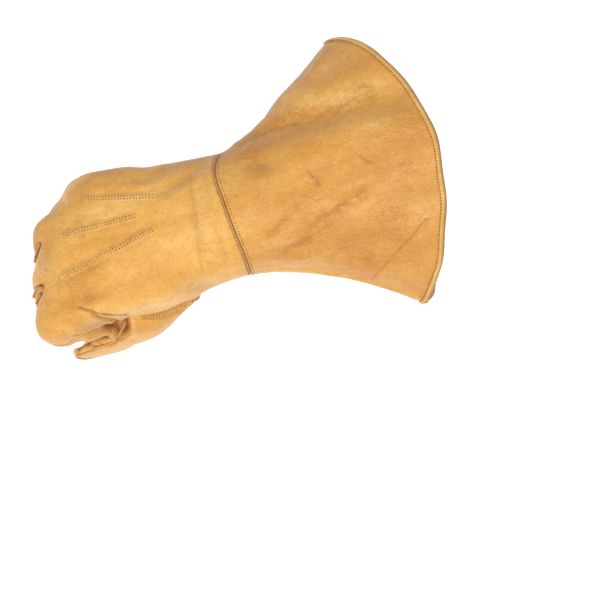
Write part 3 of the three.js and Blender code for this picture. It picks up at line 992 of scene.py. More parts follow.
# Folds, slits and seam grooves of hand and thumb, from the two views.
HAND_CREASES = drawn(BACK, (
    *((path, 1.7, -0.7, 0.5, 0.0) for path in BACK_POINTS),
    (((31, 262), (35, 254), (40, 241)), 1.6, 1.6, 0.3, 0.95),
    (((30, 296), (38, 287), (45, 286)), 1.5, 1.4, 0.3, 0.95),
    (((31, 312), (37, 300), (43, 290)), 1.5, 1.4, 0.3, 0.95),
    (((56, 205), (61, 203), (68, 206)), 2.4, 0.6, 0.3, 0.1),
    (((66, 347), (76, 344.5), (88, 342)), 3.6, 3.0, 0.0, 0.0, Crease.heights, -0.9),
    (((78, 306.5), (92, 310.5), (106, 313.8)), 1.0, 1.0, 0.5, 0.55),
    (((102, 313), (116, 315.5), (130, 315)), 0.9, 0.3, 0.0, 0.8),
    (((78, 338), (98, 330), (121, 320)), 6.0, 0.0, 0.0, 0.4),
    (((110, 335), (118, 327), (125, 318)), 3.2, 0.4, 0.0, 0.7),
    (((84, 330), (96, 322), (110, 319), (122, 316)), 5.0, 1.2, 0.2, 0.1),
    (((62, 318), (74, 330), (86, 338)), 4.0, -0.8, 0.0, 0.0),
    (((128, 316), (121, 327), (112, 336), (91, 340), (77, 349), (73, 355)), 1.8, 1.3, 0.2, 1.0, (-95, -40)),
    (((139, 318), (160, 318), (175, 312), (190, 304), (204, 294)), 1.2, 0.7, 0.3, 0.4),
    (((62, 262), (84, 266), (110, 272)), 7.0, 1.2, 0.2, 0.0),
    (((60, 222), (80, 216), (104, 212)), 7.0, 1.1, 0.2, 0.0),
    (((62, 300), (84, 296), (112, 292)), 7.0, 1.0, 0.2, 0.0),
    (((150, 250), (175, 262), (205, 268)), 8.0, 1.3, 0.2, 0.0),
    (((190, 172), (196, 210), (200, 250), (204, 272)), 1.3, 0.45, 0.5, 0.12),
    (((156, 197), (176, 186), (196, 172), (210, 162)), 3.6, 1.5, 0.5, 0.08),
    (((128, 182), (150, 177), (172, 170)), 3.0, 0.8, 0.4, 0.05),
    (((206, 170), (210, 200), (222, 240), (230, 264)), 2.2, 0.6, 0.5, 0.08),
    (((176, 170), (190, 163), (208, 158)), 5.0, 1.2, 0.3, 0.1),
    (((160, 285), (185, 283), (206, 288)), 6.0, 1.0, 0.3, 0.05),
)) + drawn(SIDE, (
    (((226, 464), (213.7, 437), (207.7, 425), (190, 405)), 2.2, 1.8, 0.4, 0.6),
    (((224, 464), (216.4, 449), (205.7, 423.5), (193, 411.5)), 1.6, 0.9, 0.4, 0.4),
    (((212.4, 463.7), (200.3, 455.7), (187, 442.3)), 1.6, 1.0, 0.4, 0.45),
    (((170.9, 437), (176, 440), (181.6, 443.6)), 1.4, 0.8, 0.4, 0.35),
    (((162.8, 435.6), (177.6, 442.3), (195, 455.7)), 2.0, 1.3, 0.4, 0.5),
    (((137.4, 461), (146.8, 462.4), (166.9, 462.4), (182.9, 461), (195, 455.7)), 1.8, 1.5, 0.4, 0.6),
    (((138.7, 465), (149.5, 466.4)), 1.3, 0.6, 0.4, 0.3),
    (((195, 456), (210, 462), (224, 469.7), (213.7, 475.7), (206, 470), (195, 456)), 3.0, 3.5, 0.4, 0.9),
    (((240, 420), (262, 428), (290, 430)), 8.0, 1.2, 0.4, 0.0),
    (((262, 452), (285, 450), (306, 458)), 6.0, 1.0, 0.4, 0.0),
    (((308, 400), (322, 420), (330, 450)), 6.0, 1.0, 0.4, 0.0),
    (((227, 462), (240, 461.5), (264, 466.4), (284, 469.5), (300, 474.5), (309, 482), (314, 491),
      (313, 498)), 1.5, 1.2, 0.4, 0.6),
    (((281, 474), (290, 480), (297, 488)), 1.8, 0.8, 0.3, 0.25),
    (((290, 473), (299, 481), (305, 490)), 1.8, 0.8, 0.3, 0.25),
    (((224, 469), (212, 481), (207, 490), (198, 498.5), (176, 502.5), (160, 509), (149.5, 518.6),
      (146.5, 529.3), (149.5, 540), (160, 550), (176, 553)), 1.4, 1.1, 0.4, 0.6),
    (((177, 491), (188, 495), (198, 497), (208, 485)), 1.3, 0.7, 0.3, 0.4),
    (((196, 520), (215, 516), (238, 520)), 7.0, 1.0, 0.2, 0.0),
))
# Brown stains of hand and thumb, and painted shade along their folds and in the cavity by the thumb, from the two
# views.
HAND_STAINS_AND_SHADE = stained_and_shaded((
    (((90, 337), (108, 330), (121, 321)), 4.5, 0.5),
    (((150, 205), (172, 192), (200, 176)), 7.0, 0.4),
    (((186, 172), (194, 210), (204, 262)), 4.0, 0.35),
    (((60, 300), (72, 320), (96, 334)), 7.0, 0.25),
    (((50, 240), (46, 270), (44, 300)), 6.0, 0.3),
    (((84, 178), (100, 172), (130, 170)), 5.0, 0.4),
    (((140, 335), (165, 325), (190, 308)), 6.0, 0.3),
    (((170, 290), (190, 288), (220, 284)), 5.0, 0.4),
)) + stained_and_shaded((
    (((150, 430), (170, 450), (200, 470)), 6.0, 0.4),
    (((200, 470), (215, 478), (222, 470)), 6.0, 1.0),
    (((200, 530), (240, 520), (280, 505)), 7.0, 0.35),
    (((300, 478), (316, 470), (330, 440)), 7.0, 0.3),
), SIDE)


@dataclass
class HandForm:
    """The fist-shaped hand with its thumb: one soft skin, cut into the hand's and the thumb's leather.

    Places along the hand are shares of length, across of half_width, up of half_height. Finger sizes are shares
    of finger_half_thickness (long, thick) and finger_half_width (wide). Valleys between parts are least size, what
    it grows by, and where that starts and over which span. Creases under narrow get finer triangles round them, and
    roll is how the leather turns in at the wrist. Where a mesh bends in by hollow_bend it gets painted shade, where
    it bends out by proud_bend it is paler with rubbed wear and a painted highlight. The leather's unevenness starts at
    calm_from from the wrist. Millimetres.
    """

    wrist: WristLine
    length: float = 163.0
    half_width: float = 54.0
    half_height: float = 40.0
    finger_half_width: float = 15.5
    finger_half_thickness: float = 16.0
    thumb_heel: float = 45.0
    thumb_length: float = 100.0
    thumb_half_width: float = 19.0
    thumb_half_thickness: float = 12.0
    finger_valleys: tuple = (0.7, 8.0, -34.0, 16.0)
    thumb_valley: tuple = (0.6, 7.0, -106.0, 14.0)
    knuckle_valley: float = 6.0
    web_thinning: Triple = (0.0, 0.06, 0.12)
    space_low: Triple = (-174.0, -80.0, -100.0)
    space_high: Triple = (16.0, 60.0, 58.0)
    cell: float = 1.45
    palm_steps: int = 8
    calm_from: float = 6.0
    calm_span: float = 25.0
    narrow: float = 1.9
    roll_width: float = 1.5
    roll_depth: float = 0.9
    wall: float = 1.4
    hollow_bend: float = 0.14
    hollow_shade: float = 0.45
    proud_bend: float = 0.12
    proud_rub_and_highlight: float = 0.5
    unevenness: tuple = ((34.0, 5, 0.55), (13.0, 9, 0.16))
    # along, ulnar, radial, top, bottom, square
    palm: tuple = (
        (0.13, 0.85, -0.89, 1.14, -1.22, 2.15),
        (0.28, 0.86, -1.0, 0.99, -1.17, 2.3),
        (0.42, 0.88, -1.09, 0.89, -1.1, 2.5),
        (0.53, 0.9, -1.08, 0.8, -0.98, 2.6),
        (0.6, 0.9, -1.06, 0.71, -0.6, 2.6),
        (0.67, 0.87, -1.05, 0.58, -0.5, 2.6),
        (0.74, 0.74, -1.05, 0.4, -0.46, 2.6),
    )
    # along, across, up, long, wide, thick
    index: tuple = (
        (0.58, -0.76, 0.1, 1.3, 1.15, 1.5),
        (0.81, -0.9, -0.15, 1.05, 1.04, 1.12),
        (0.895, -0.95, -0.52, 1.08, 1.03, 1.0),
        (0.83, -0.96, -0.95, 0.94, 0.96, 0.88),
        (0.72, -0.93, -0.93, 0.78, 0.9, 0.81),
    )
    middle: tuple = (
        (0.58, -0.22, 0.15, 1.3, 1.1, 1.5),
        (0.8, -0.3, -0.1, 1.08, 1.0, 1.15),
        (0.875, -0.37, -0.48, 1.08, 1.0, 1.0),
        (0.81, -0.4, -0.95, 0.94, 0.94, 0.88),
        (0.71, -0.4, -1.0, 0.81, 0.87, 0.81),
    )
    ring: tuple = (
        (0.55, 0.27, 0.1, 1.3, 1.03, 1.45),
        (0.745, 0.27, -0.08, 1.08, 1.02, 1.12),
        (0.835, 0.21, -0.45, 1.05, 1.02, 1.0),
        (0.765, 0.15, -0.92, 0.94, 0.9, 0.88),
        (0.67, 0.13, -0.98, 0.81, 0.85, 0.81),
    )
    little: tuple = (
        (0.49, 0.65, 0.0, 1.2, 0.92, 1.3),
        (0.62, 0.7, -0.12, 0.95, 0.9, 1.05),
        (0.685, 0.69, -0.4, 0.9, 0.86, 0.9),
        (0.635, 0.62, -0.82, 0.78, 0.78, 0.78),
        (0.57, 0.58, -0.88, 0.7, 0.74, 0.76),
    )
    # along, across, up, long, wide, high
    thumb: tuple = (
        (0.06, -0.58, -1.0, 0.82, 1.75, 0.78),
        (0.3, -0.83, -1.19, 0.95, 1.75, 1.18),
        (0.5, -1.07, -1.36, 1.0, 1.1, 1.28),
        (0.66, -1.18, -1.65, 0.95, 0.65, 1.06),
        (0.78, -1.21, -1.83, 0.92, 0.42, 0.98),
        (0.82, -1.22, -1.86, 0.8, 0.28, 0.88),
    )

    def balls(self, rows: Sequence[Sequence[float]], steps: int = 12, thumb: bool = False) -> Array:
        """Balls of a finger or the thumb, with the smooth stretches between its joints filled.

        Args:
            rows: its table.
            steps: balls from one joint to the next.
            thumb: whether it is the thumb.

        Returns:
            Centre and half sizes of each ball.
        """
        rows = refined(np.array(rows), steps)
        heel, length, long, wide = 0.0, self.length, self.finger_half_thickness, self.finger_half_width
        if thumb:
            heel, length = self.thumb_heel, self.thumb_length
            long, wide = self.thumb_half_width, self.thumb_half_thickness
        centres = rows[:, :3] * (-length, self.half_width, self.half_height) - (heel, 0.0, 0.0)
        return np.hstack([centres, rows[:, 3:] * (long, wide, long) + self.wrist.leather / 2])

    def palm_field(self, volume: Volume) -> Array:
        """Distance to the palm and back, whose first section is the wrist."""
        x, y, z = volume.grids()
        wrist_row = [0.0, self.wrist.half_width / self.half_width, -self.wrist.half_width / self.half_width,
                     self.wrist.half_height / self.half_height, -self.wrist.half_height / self.half_height, 2.0]
        rows = np.array([wrist_row, *self.palm])
        dense = refined(rows, self.palm_steps)
        stage = np.arange(len(dense)) / self.palm_steps
        angle = np.degrees(np.arctan2(z / self.wrist.half_height, y / self.wrist.half_width))
        seam = self.wrist.reach(angle)
        first = -rows[1, 0] * self.length
        near_wrist = np.clip((seam - x) / (seam - first), 0, 1)
        beyond = np.interp(-x, -first + (rows[1:, 0] - rows[1, 0]) * self.length, np.arange(len(rows) - 1))
        station = np.where(x > first, near_wrist, 1 + beyond).astype(np.float32)
        ulnar, radial, top, bottom, square = (
            np.interp(station, stage, dense[:, i]).astype(np.float32) for i in range(1, 6)
        )
        half = self.wrist.leather / 2
        across = (ulnar - radial) / 2 * self.half_width + half
        high = (top - bottom) / 2 * self.half_height + half
        off_y = y - (ulnar + radial) / 2 * self.half_width
        off_z = z - (top + bottom) / 2 * self.half_height
        size = (np.abs(off_y / across) ** square + np.abs(off_z / high) ** square + TINY) ** (1 / square)
        length = np.sqrt(off_y ** 2 + off_z ** 2 + 1e-5)
        end = -rows[-1, 0] * self.length
        return np.maximum(length - length / size, end - x).astype(np.float32)

    def fields(self, volume: Volume) -> tuple[Array, Array]:
        """The hand's and the thumb's distance fields."""
        _, _, z = volume.grids()
        tables = [self.index, self.middle, self.ring, self.little]
        tubes = [volume.chain(self.balls(table)) for table in tables]
        softness = growing(z, self.finger_valleys)
        fingers = tubes[0]
        for here, there, tube in zip(tables, tables[1:], tubes[1:]):
            middle = (np.array(here[:3]) + np.array(there[:3])) / 2
            middle[:, 3] -= self.web_thinning
            web = volume.chain(self.balls(middle, 8))
            fingers = joined(joined(fingers, tube, softness), web, softness * 0.6 + 0.2)
        hand = joined(self.palm_field(volume), fingers, self.knuckle_valley)
        return hand, volume.chain(self.balls(self.thumb, thumb=True))

    def build(self) -> tuple[Piece, Piece, Skin]:
        """Makes both pieces.

        Returns:
            The hand, the thumb, and their outside for sewing.
        """
        volume = Volume(self.space_low, self.space_high, self.cell)
        hand, thumb = self.fields(volume)
        points, triangles = volume.skin(joined(hand, thumb, growing(volume.grids()[0], self.thumb_valley)))
        narrow = [replace(crease, width=1.6, lip=0.0) for crease in HAND_CREASES if crease.width < self.narrow]
        near = sculpt(points, mesh_normals(points, triangles), narrow)[0]
        points, triangles = finer(points, triangles, np.abs(near) > 0.06)
        normals = mesh_normals(points, triangles)
        move, shade = sculpt(points, normals, HAND_CREASES)
        away_from_wrist = ease((-self.calm_from - points[:, 0]) / self.calm_span)
        move += ripples(points, self.unevenness) * away_from_wrist
        points = points + normals * move[:, None]
        normals = mesh_normals(points, triangles)
        shade, rub_and_highlight = self.wear_and_shade(points, triangles, normals, shade)
        angle = np.degrees(np.arctan2(points[:, 2] / self.wrist.half_height, points[:, 1] / self.wrist.half_width))
        edge = self.wrist.reach(angle) - self.wrist.welt / 2
        roll = np.clip(1 - (edge - points[:, 0]) / self.roll_width, 0, 1) ** 2
        points = points - normals * (roll * self.roll_depth)[:, None]
        # painted shade where the leather rolls in at the wrist seam
        shade = np.maximum(shade, roll * 0.5)
        inner = points - normals * self.wall
        split = volume.read(thumb, points) - volume.read(hand, points)
        # brown stains and painted shade along folds
        stain_and_shade = sculpt(points, normals, HAND_STAINS_AND_SHADE)[1]
        rows = np.column_stack([points, inner, shade, rub_and_highlight, stain_and_shade, points[:, 0] - edge, split])
        rows, triangles, _ = cut(rows, triangles, 9)
        rows, thumb_faces, hand_faces = cut(rows, triangles, 10)
        skin = Skin(rows[:, :3], np.concatenate([hand_faces, thumb_faces]))
        pieces = []
        for name, faces in (("hand_leather", hand_faces), ("thumb_leather", thumb_faces)):
            own, own_faces = used_only(rows, faces)
            closed = walled(len(own), own_faces)
            piece = new_piece(name, np.concatenate([own[:, :3], own[:, 3:6]]), closed)
            # the inner wall gets an even painted shade
            for column, (key, inside) in enumerate((("shade", 0.25), ("rub_and_highlight", 0.0), ("stain_and_shade", 0.0)), 6):
                set_values(piece, key, np.concatenate([own[:, column], np.full(len(own), inside)]))
            log.info("%s: %d triangles", name, len(closed))
            pieces.append(piece)
        return pieces[0], pieces[1], skin

    def wear_and_shade(self, points: Array, triangles: Array, normals: Array, shade: Array) -> tuple[Array, Array]:
        """Paints shade into hollows, and makes what stands proud paler with rubbed wear and a painted highlight.

        Args:
            points: places of the surface.
            triangles: its triangles.
            normals: its outward directions.
            shade: painted shade so far.

        Returns:
            The new painted shade, and how rubbed and highlighted each place is.
        """
        edges = edges_of(triangles)
        count = np.maximum(np.bincount(edges[:, 0], minlength=len(points)), 1)
        bend = np.zeros(len(points))
        for axis in range(3):
            mean = np.bincount(edges[:, 0], points[edges[:, 1], axis], len(points)) / count
            bend += (mean - points[:, axis]) * normals[:, axis]
        for _ in range(6):
            bend = 0.5 * bend + 0.5 * np.bincount(edges[:, 0], bend[edges[:, 1]], len(points)) / count
        # painted shade in hollows; rubbed wear and painted highlight where the leather stands proud
        hollow = ease(bend / self.hollow_bend) * self.hollow_shade
        proud = ease(-bend / self.proud_bend - 0.15) * self.proud_rub_and_highlight
        return np.clip(np.maximum(shade, hollow), 0, 1), proud


# ---- cuff, hem and welt

# Valleys, ridges and small wrinkles of the cuff, from the two views.
CUFF_CREASES = drawn(BACK, (
    (((244, 143), (262, 131), (290, 121), (330, 110), (382, 98)), 9.0, 3.6, 0.3, 0.0),
    (((238, 152), (250, 138), (272, 128), (300, 119)), 2.6, 1.0, 0.6, 0.12),
    (((331, 46), (310, 74), (276, 103), (246, 139)), 2.8, -1.1, 0.3, 0.0),
    (((280, 256), (306, 242), (322, 221), (346, 205), (374, 189)), 5.0, 2.6, 0.35, 0.0),
    (((264, 240), (280, 227), (296, 212)), 4.0, 2.0, 0.35, 0.0),
    (((292, 220), (304, 206), (319, 187)), 4.0, -1.4, 0.2, 0.0),
    (((240, 206), (300, 160), (360, 136), (430, 118)), 9.0, -1.8, 0.2, 0.0),
    (((238, 172), (254, 166), (276, 164)), 5.0, 1.2, 0.3, 0.0),
    (((330, 262), (362, 254), (398, 252)), 7.0, 1.2, 0.3, 0.0),
    (((375, 272), (402, 244), (431, 214)), 1.6, 0.5, 0.5, 0.0),
    (((352, 82), (366, 90), (384, 104)), 5.0, 0.9, 0.3, 0.0),
    (((392, 176), (408, 184), (424, 200)), 6.0, 0.8, 0.3, 0.0),
)) + drawn(SIDE, (
    (((385, 380), (430, 392), (480, 384), (540, 372)), 9.0, 1.6, 0.25, 0.0),
    (((392, 470), (440, 478), (490, 486), (540, 492)), 9.0, 1.6, 0.25, 0.0),
    (((380, 412), (410, 418), (450, 414)), 7.0, 1.0, 0.25, 0.0),
    (((488, 430), (518, 400), (548, 372)), 1.8, 0.5, 0.25, 0.0),
    (((400, 500), (430, 490), (470, 500)), 7.0, 1.0, 0.25, 0.0),
))
# Brown stains of the cuff, and painted shade along its fold valleys, from the two views.
CUFF_STAINS_AND_SHADE = stained_and_shaded((
    (((262, 134), (292, 122), (325, 114), (360, 106)), 9.0, 0.7),
    (((330, 112), (350, 104), (380, 96)), 6.0, 0.8),
    (((316, 224), (344, 206), (370, 190)), 5.0, 0.95),
    (((262, 242), (278, 229), (294, 212)), 4.0, 0.8),
    (((281, 254), (300, 243), (318, 236)), 4.0, 0.9),
    (((236, 156), (252, 165), (276, 171)), 8.0, 0.8),
    (((350, 84), (364, 90), (380, 99)), 5.0, 0.85),
    (((330, 40), (306, 70), (272, 98), (245, 132)), 5.0, 0.7),
    (((388, 184), (404, 196), (420, 206)), 7.0, 0.35),
    (((320, 258), (340, 262), (352, 266)), 5.0, 0.3),
)) + stained_and_shaded((
    (((390, 440), (400, 462), (404, 484)), 7.0, 0.7),
    (((400, 395), (425, 400), (445, 396)), 8.0, 0.5),
    (((470, 380), (500, 392), (520, 380)), 8.0, 0.45),
    (((440, 470), (480, 486), (520, 500)), 9.0, 0.4),
), SIDE)
CUFF_MARKS = (
    Mark((371, 279), (430, 214), 1.2, 0.75, 0.42), Mark((312, 176), (318, 185), 3.2, 0.75, 0.4),
    Mark((361, 161), (369, 163), 2.8, 0.7, 0.42), Mark((399, 168), (408, 166), 2.0, 0.7, 0.42),
    Mark((330, 150), (352, 143), 0.6, 0.4), Mark((378, 126), (396, 142), 0.5, 0.35),
    Mark((300, 222), (322, 208), 0.6, 0.3), Mark((345, 240), (352, 268), 3.0, 0.25, 0.45),
)


@dataclass
class CuffForm:
    """The flaring cuff: its wall, the turned hem at its mouth and the welt in the wrist seam. Millimetres.

    Reaches and flares run round the mouth from the little finger side; folds give start and end angle, width in
    degrees and depth in shares of fold_depth. What lies along the seam is given by its middle and spread in
    degrees, and its height or strength. The first rows are pressed in along the wrist seam, the last are tucked
    under the hem.
    """

    wrist: WristLine
    length: float = 157.0
    rim_half_width: float = 104.0
    rim_half_height: float = 76.0
    rim_shift: float = 13.0
    fold_depth: float = 3.0
    hem_width: float = 3.9
    seam_angle: float = 180.0
    rim_unevenness: float = 0.9
    unevenness: tuple = ((46.0, 21, 0.8), (17.0, 23, 0.22))
    seam_ridge: Triple = (-1.2, 1.6, 0.7)
    seam_groove: Triple = (0.9, 0.55, 0.8)
    # seam_shade paints shade into the groove beside the seam, seam_highlight paints a highlight along its ridge
    seam_shade: Triple = (0.9, 0.5, 0.7)
    seam_highlight: Triple = (-0.9, 1.0, 0.6)
    press_rows: float = 1.2
    press_depth: float = 0.7
    tuck_rows: int = 5
    tuck_depth: float = 0.5
    welt_sink: float = 0.35
    stitch_inset: float = 0.75
    stitch_height: float = 1.15
    notch: float = 2.6
    notch_width: float = 1.5
    rings: int = 320
    rows: int = 92
    reaches: tuple = (0.59, 0.69, 0.81, 0.92, 0.99, 0.985, 0.935, 0.875,
                      0.82, 0.85, 0.895, 0.93, 0.935, 0.89, 0.8, 0.69)
    flares: tuple = (1.15, 1.2, 1.4, 1.75, 2.0, 1.95, 1.85, 1.75,
                     1.7, 1.75, 1.85, 1.9, 1.9, 1.75, 1.5, 1.25)
    folds: tuple = (
        (15, 66, 11, -1.0), (62, 88, 14, 0.7), (160, 106, 10, -0.9), (180, 180, 5, 0.6),
        (236, 228, 13, -0.8), (300, 292, 15, -0.7), (330, 338, 12, 0.6),
    )

    def rise(self, angle: Array, share: Array) -> Array:
        """How far the soft folds move the wall out."""
        grow = np.minimum(1, 2.2 * share) * (0.55 + 0.45 * share)
        total = np.zeros(np.broadcast(angle, share).shape)
        for start, end, width, depth in self.folds:
            centre = start + (end - start) * np.sqrt(share)
            away = np.mod(angle - centre + 540, 360) - 180
            total += bell(away, 0.0, width, depth)
        return self.fold_depth * total * grow

    def angles(self) -> Array:
        """Degrees of the rings, in a column."""
        return (np.arange(self.rings) * 360.0 / self.rings)[:, None]

    def from_seam(self, angle: Array) -> Array:
        """Degrees from the seam along the thumb side."""
        return np.mod(angle - self.seam_angle + 540, 360) - 180

    def point(self, angle: Array, share: Array) -> Array:
        """Places of the wall's middle surface, at shares of the way from wrist to mouth."""
        share = np.maximum(share, 0)
        out = self.rise(angle, share)
        wrist = self.wrist.point(angle, out)
        turn = np.radians(angle)
        notch = bell(self.from_seam(angle), 0.0, self.notch_width, self.notch)
        uneven = self.rim_unevenness * np.sin(9 * turn + 1.0) * np.sin(4 * turn + 0.4) * share
        reach = self.length * around(self.reaches, angle) - notch + uneven
        across = self.rim_shift + (self.rim_half_width + out) * np.cos(turn)
        up = (self.rim_half_height + out) * np.sin(turn)
        flared = share ** around(self.flares, angle)
        x = wrist[..., 0] + (reach - wrist[..., 0]) * share
        y = wrist[..., 1] + (across - wrist[..., 1]) * flared
        z = wrist[..., 2] + (up - wrist[..., 2]) * flared
        return np.stack([x, y, z], axis=-1)

    def surface(self) -> tuple[Array, Array, Array]:
        """The wall's middle surface with its folds, its directions, and its painted shade."""
        angle = self.angles()
        seam = self.wrist.reach(angle)
        reach = self.length * around(self.reaches, angle)
        start = (self.wrist.welt / 2) / (reach - seam)
        share = start + (1 - start) * np.linspace(0, 1, self.rows)[None, :]
        places = self.point(np.broadcast_to(angle, share.shape), share)
        normals = self.directions(places)
        flat, flat_normals = places.reshape(-1, 3), normals.reshape(-1, 3)
        move, shade = sculpt(flat, flat_normals, CUFF_CREASES)
        calm = ease((share - 0.02) / 0.1).ravel()
        move += ripples(flat, self.unevenness) * calm
        aside = self.from_seam(np.broadcast_to(angle, share.shape)).ravel() * (0.8 + 0.6 * share.ravel())
        move += bell(aside, *self.seam_ridge) - bell(aside, *self.seam_groove)
        # painted shade in the seam's groove
        shade = np.maximum(shade, bell(aside, *self.seam_shade))
        places = (flat + flat_normals * move[:, None]).reshape(places.shape)
        return places, self.directions(places), shade.reshape(share.shape)

    @staticmethod
    def directions(places: Array) -> Array:
        """Outward directions of a grid of places round the cuff."""
        round_way = np.roll(places, -1, axis=0) - np.roll(places, 1, axis=0)
        normals = unit(np.cross(round_way, np.gradient(places, axis=1)))
        outward = np.einsum("ijk,ijk->", normals[..., 1:], places[..., 1:])
        return normals if outward > 0 else -normals

    def build(self, edge: Material) -> tuple[list[Piece], list[Seam]]:
        """Makes wall, hem and welt.

        Args:
            edge: leather of the narrow strips.

        Returns:
            The three pieces, and the seams that are sewn on them.
        """
        places, normals, shade = self.surface()
        # brown stains and painted shade along the fold valleys
        stain_and_shade = sculpt(places.reshape(-1, 3), normals.reshape(-1, 3), CUFF_STAINS_AND_SHADE)[1].reshape(shade.shape)
        half = self.wrist.leather / 2
        pressed = np.clip(1 - np.arange(self.rows) / self.press_rows, 0, 1) ** 2 * self.press_depth
        outer = places + normals * (half - pressed[None, :, None])
        tuck = ease((np.arange(self.rows) - self.rows + self.tuck_rows) / (self.tuck_rows - 1)) * self.tuck_depth
        outer = outer - normals * tuck[None, :, None]
        inner = (places - normals * half)[:, ::-2]
        loops = np.concatenate([outer, inner], axis=1)
        faces = ring_faces(self.rings, loops.shape[1])
        flat = loops.reshape(-1, 3)
        wall = new_piece("cuff_leather", flat, facing_out(flat, faces))
        # painted highlight along the seam's ridge
        ridge = bell(self.from_seam(self.angles()), *self.seam_highlight) * np.ones((1, self.rows))
        # painted shade where the wall is pressed in at the wrist seam, and an even painted shade on the inner side
        dark = np.maximum(shade, pressed[None, :] * 0.5)
        for key, outside, inside in (("shade", dark, 0.22), ("rub_and_highlight", ridge, 0.0), ("stain_and_shade", stain_and_shade, 0.0)):
            set_values(wall, key, np.concatenate([outside, np.full(inner.shape[:2], inside)], axis=1).ravel())
        pieces = [wall, self.hem(places, normals), self.welt(edge)]
        for piece in pieces:
            log.info("%s: %d faces", piece.name, len(piece.data.polygons))
        return pieces, self.seams(outer, normals)

    def hem(self, places: Array, normals: Array) -> Piece:
        """Leather edge turned over the mouth, rounded and a little uneven."""
        end, out = places[:, -1], normals[:, -1]
        way = unit(places[:, -1] - places[:, -4])
        width = self.hem_width
        # along the wall, up from it, painted shade under the fold and at the outer edge, and rubbed wear with painted
        # highlight
        profile = [
            (-width, 0.55, 0.9, 0.0), (-width + 0.1, 1.05, 0.5, 0.0), (-width + 0.5, 1.5, 0.1, 0.3),
            (-width + 1.2, 1.78, 0.0, 0.7), (-width * 0.55, 1.95, 0.0, 0.9), (-width * 0.3, 2.0, 0.0, 0.8),
            (-0.6, 1.85, 0.1, 0.4), (0.1, 1.45, 0.3, 0.2), (0.6, 0.8, 0.5, 0.1), (0.75, 0.0, 0.5, 0.1),
            (0.6, -0.8, 0.5, 0.1), (0.1, -1.45, 0.0, 0.2), (-0.6, -1.85, 0.0, 0.2), (-width * 0.3, -2.0, 0.0, 0.1),
            (-width * 0.6, -1.95, 0.0, 0.0), (-width + 1.0, -1.75, 0.1, 0.0), (-width + 0.2, -1.3, 0.5, 0.0),
            (-width, -0.9, 0.8, 0.0), (-width, 0.0, 0.9, 0.0),
        ]
        uneven = 1 + 0.10 * waviness(end, 16.0, 31)
        loops = []
        for along, up, _, _ in profile:
            local = np.interp(along, (-width, 0), (0, 1))
            base = places[:, -1] + way * along if along > -1 else self.back_along(places, -along)
            loops.append(base + out * (up * uneven * (1 - 0.02 * local))[:, None])
        rings = np.stack(loops, axis=1)
        faces = ring_faces(len(places), len(profile))
        flat = rings.reshape(-1, 3)
        piece = new_piece("mouth_hem", flat, facing_out(flat, faces))
        _, _, shade, rub_and_highlight = np.array(profile).T
        set_values(piece, "shade", np.tile(shade, len(places)))
        set_values(piece, "rub_and_highlight", np.tile(rub_and_highlight * 0.6, len(places)))
        return piece

    @staticmethod
    def back_along(places: Array, distance: float) -> Array:
        """Places on the wall at a distance back from the mouth."""
        steps = np.linalg.norm(np.diff(places[:, ::-1], axis=1), axis=2)
        lengths = np.concatenate([np.zeros((len(places), 1)), np.cumsum(steps, axis=1)], axis=1)
        row = np.clip((lengths < distance).sum(axis=1), 1, places.shape[1] - 1)
        index = np.arange(len(places))
        share = (distance - lengths[index, row - 1]) / (lengths[index, row] - lengths[index, row - 1])
        backward = places[:, ::-1]
        return backward[index, row - 1] * (1 - share)[:, None] + backward[index, row] * share[:, None]

    def welt(self, material: Material) -> Piece:
        """Thin rolled strip in the wrist seam, swept by nodes along the seam's line."""
        line = self.wrist.point(self.angles()[:, 0], self.wrist.leather / 2 - self.welt_sink)
        out = unit(line * np.array([0.0, 1.0, 1.0]))
        tree = NodeTree("welt_sweep", {"Strip Radius": ("NodeSocketFloat", 0.0006)})
        profile = tree.node("GeometryNodeCurvePrimitiveCircle", {"mode": "RADIUS"},
                            {"Resolution": 10, "Radius": tree.given("Strip Radius")}, "Curve")
        swept = tree.node("GeometryNodeCurveToMesh", {}, {"Curve": tree.path(), "Profile Curve": profile}, "Mesh")
        piece = tree.make("wrist_welt_strip", [Seam(line, out, True)], {}, swept, material)
        set_values(piece, "shade", np.full(len(piece.data.vertices), 0.18))
        set_values(piece, "rub_and_highlight", np.full(len(piece.data.vertices), 0.35))
        return piece

    def seams(self, outer: Array, normals: Array) -> list[Seam]:
        """Sewn lines: along the hem and beside the wrist seam."""
        hem_out = normals[:, -1]
        hem = self.back_along(outer, self.hem_width - self.stitch_inset) + hem_out * self.stitch_height
        return [Seam(hem, hem_out, True), Seam(outer[:, 1] * 0.5 + outer[:, 2] * 0.5, normals[:, 2], True)]


# ---- repeated and swept detail

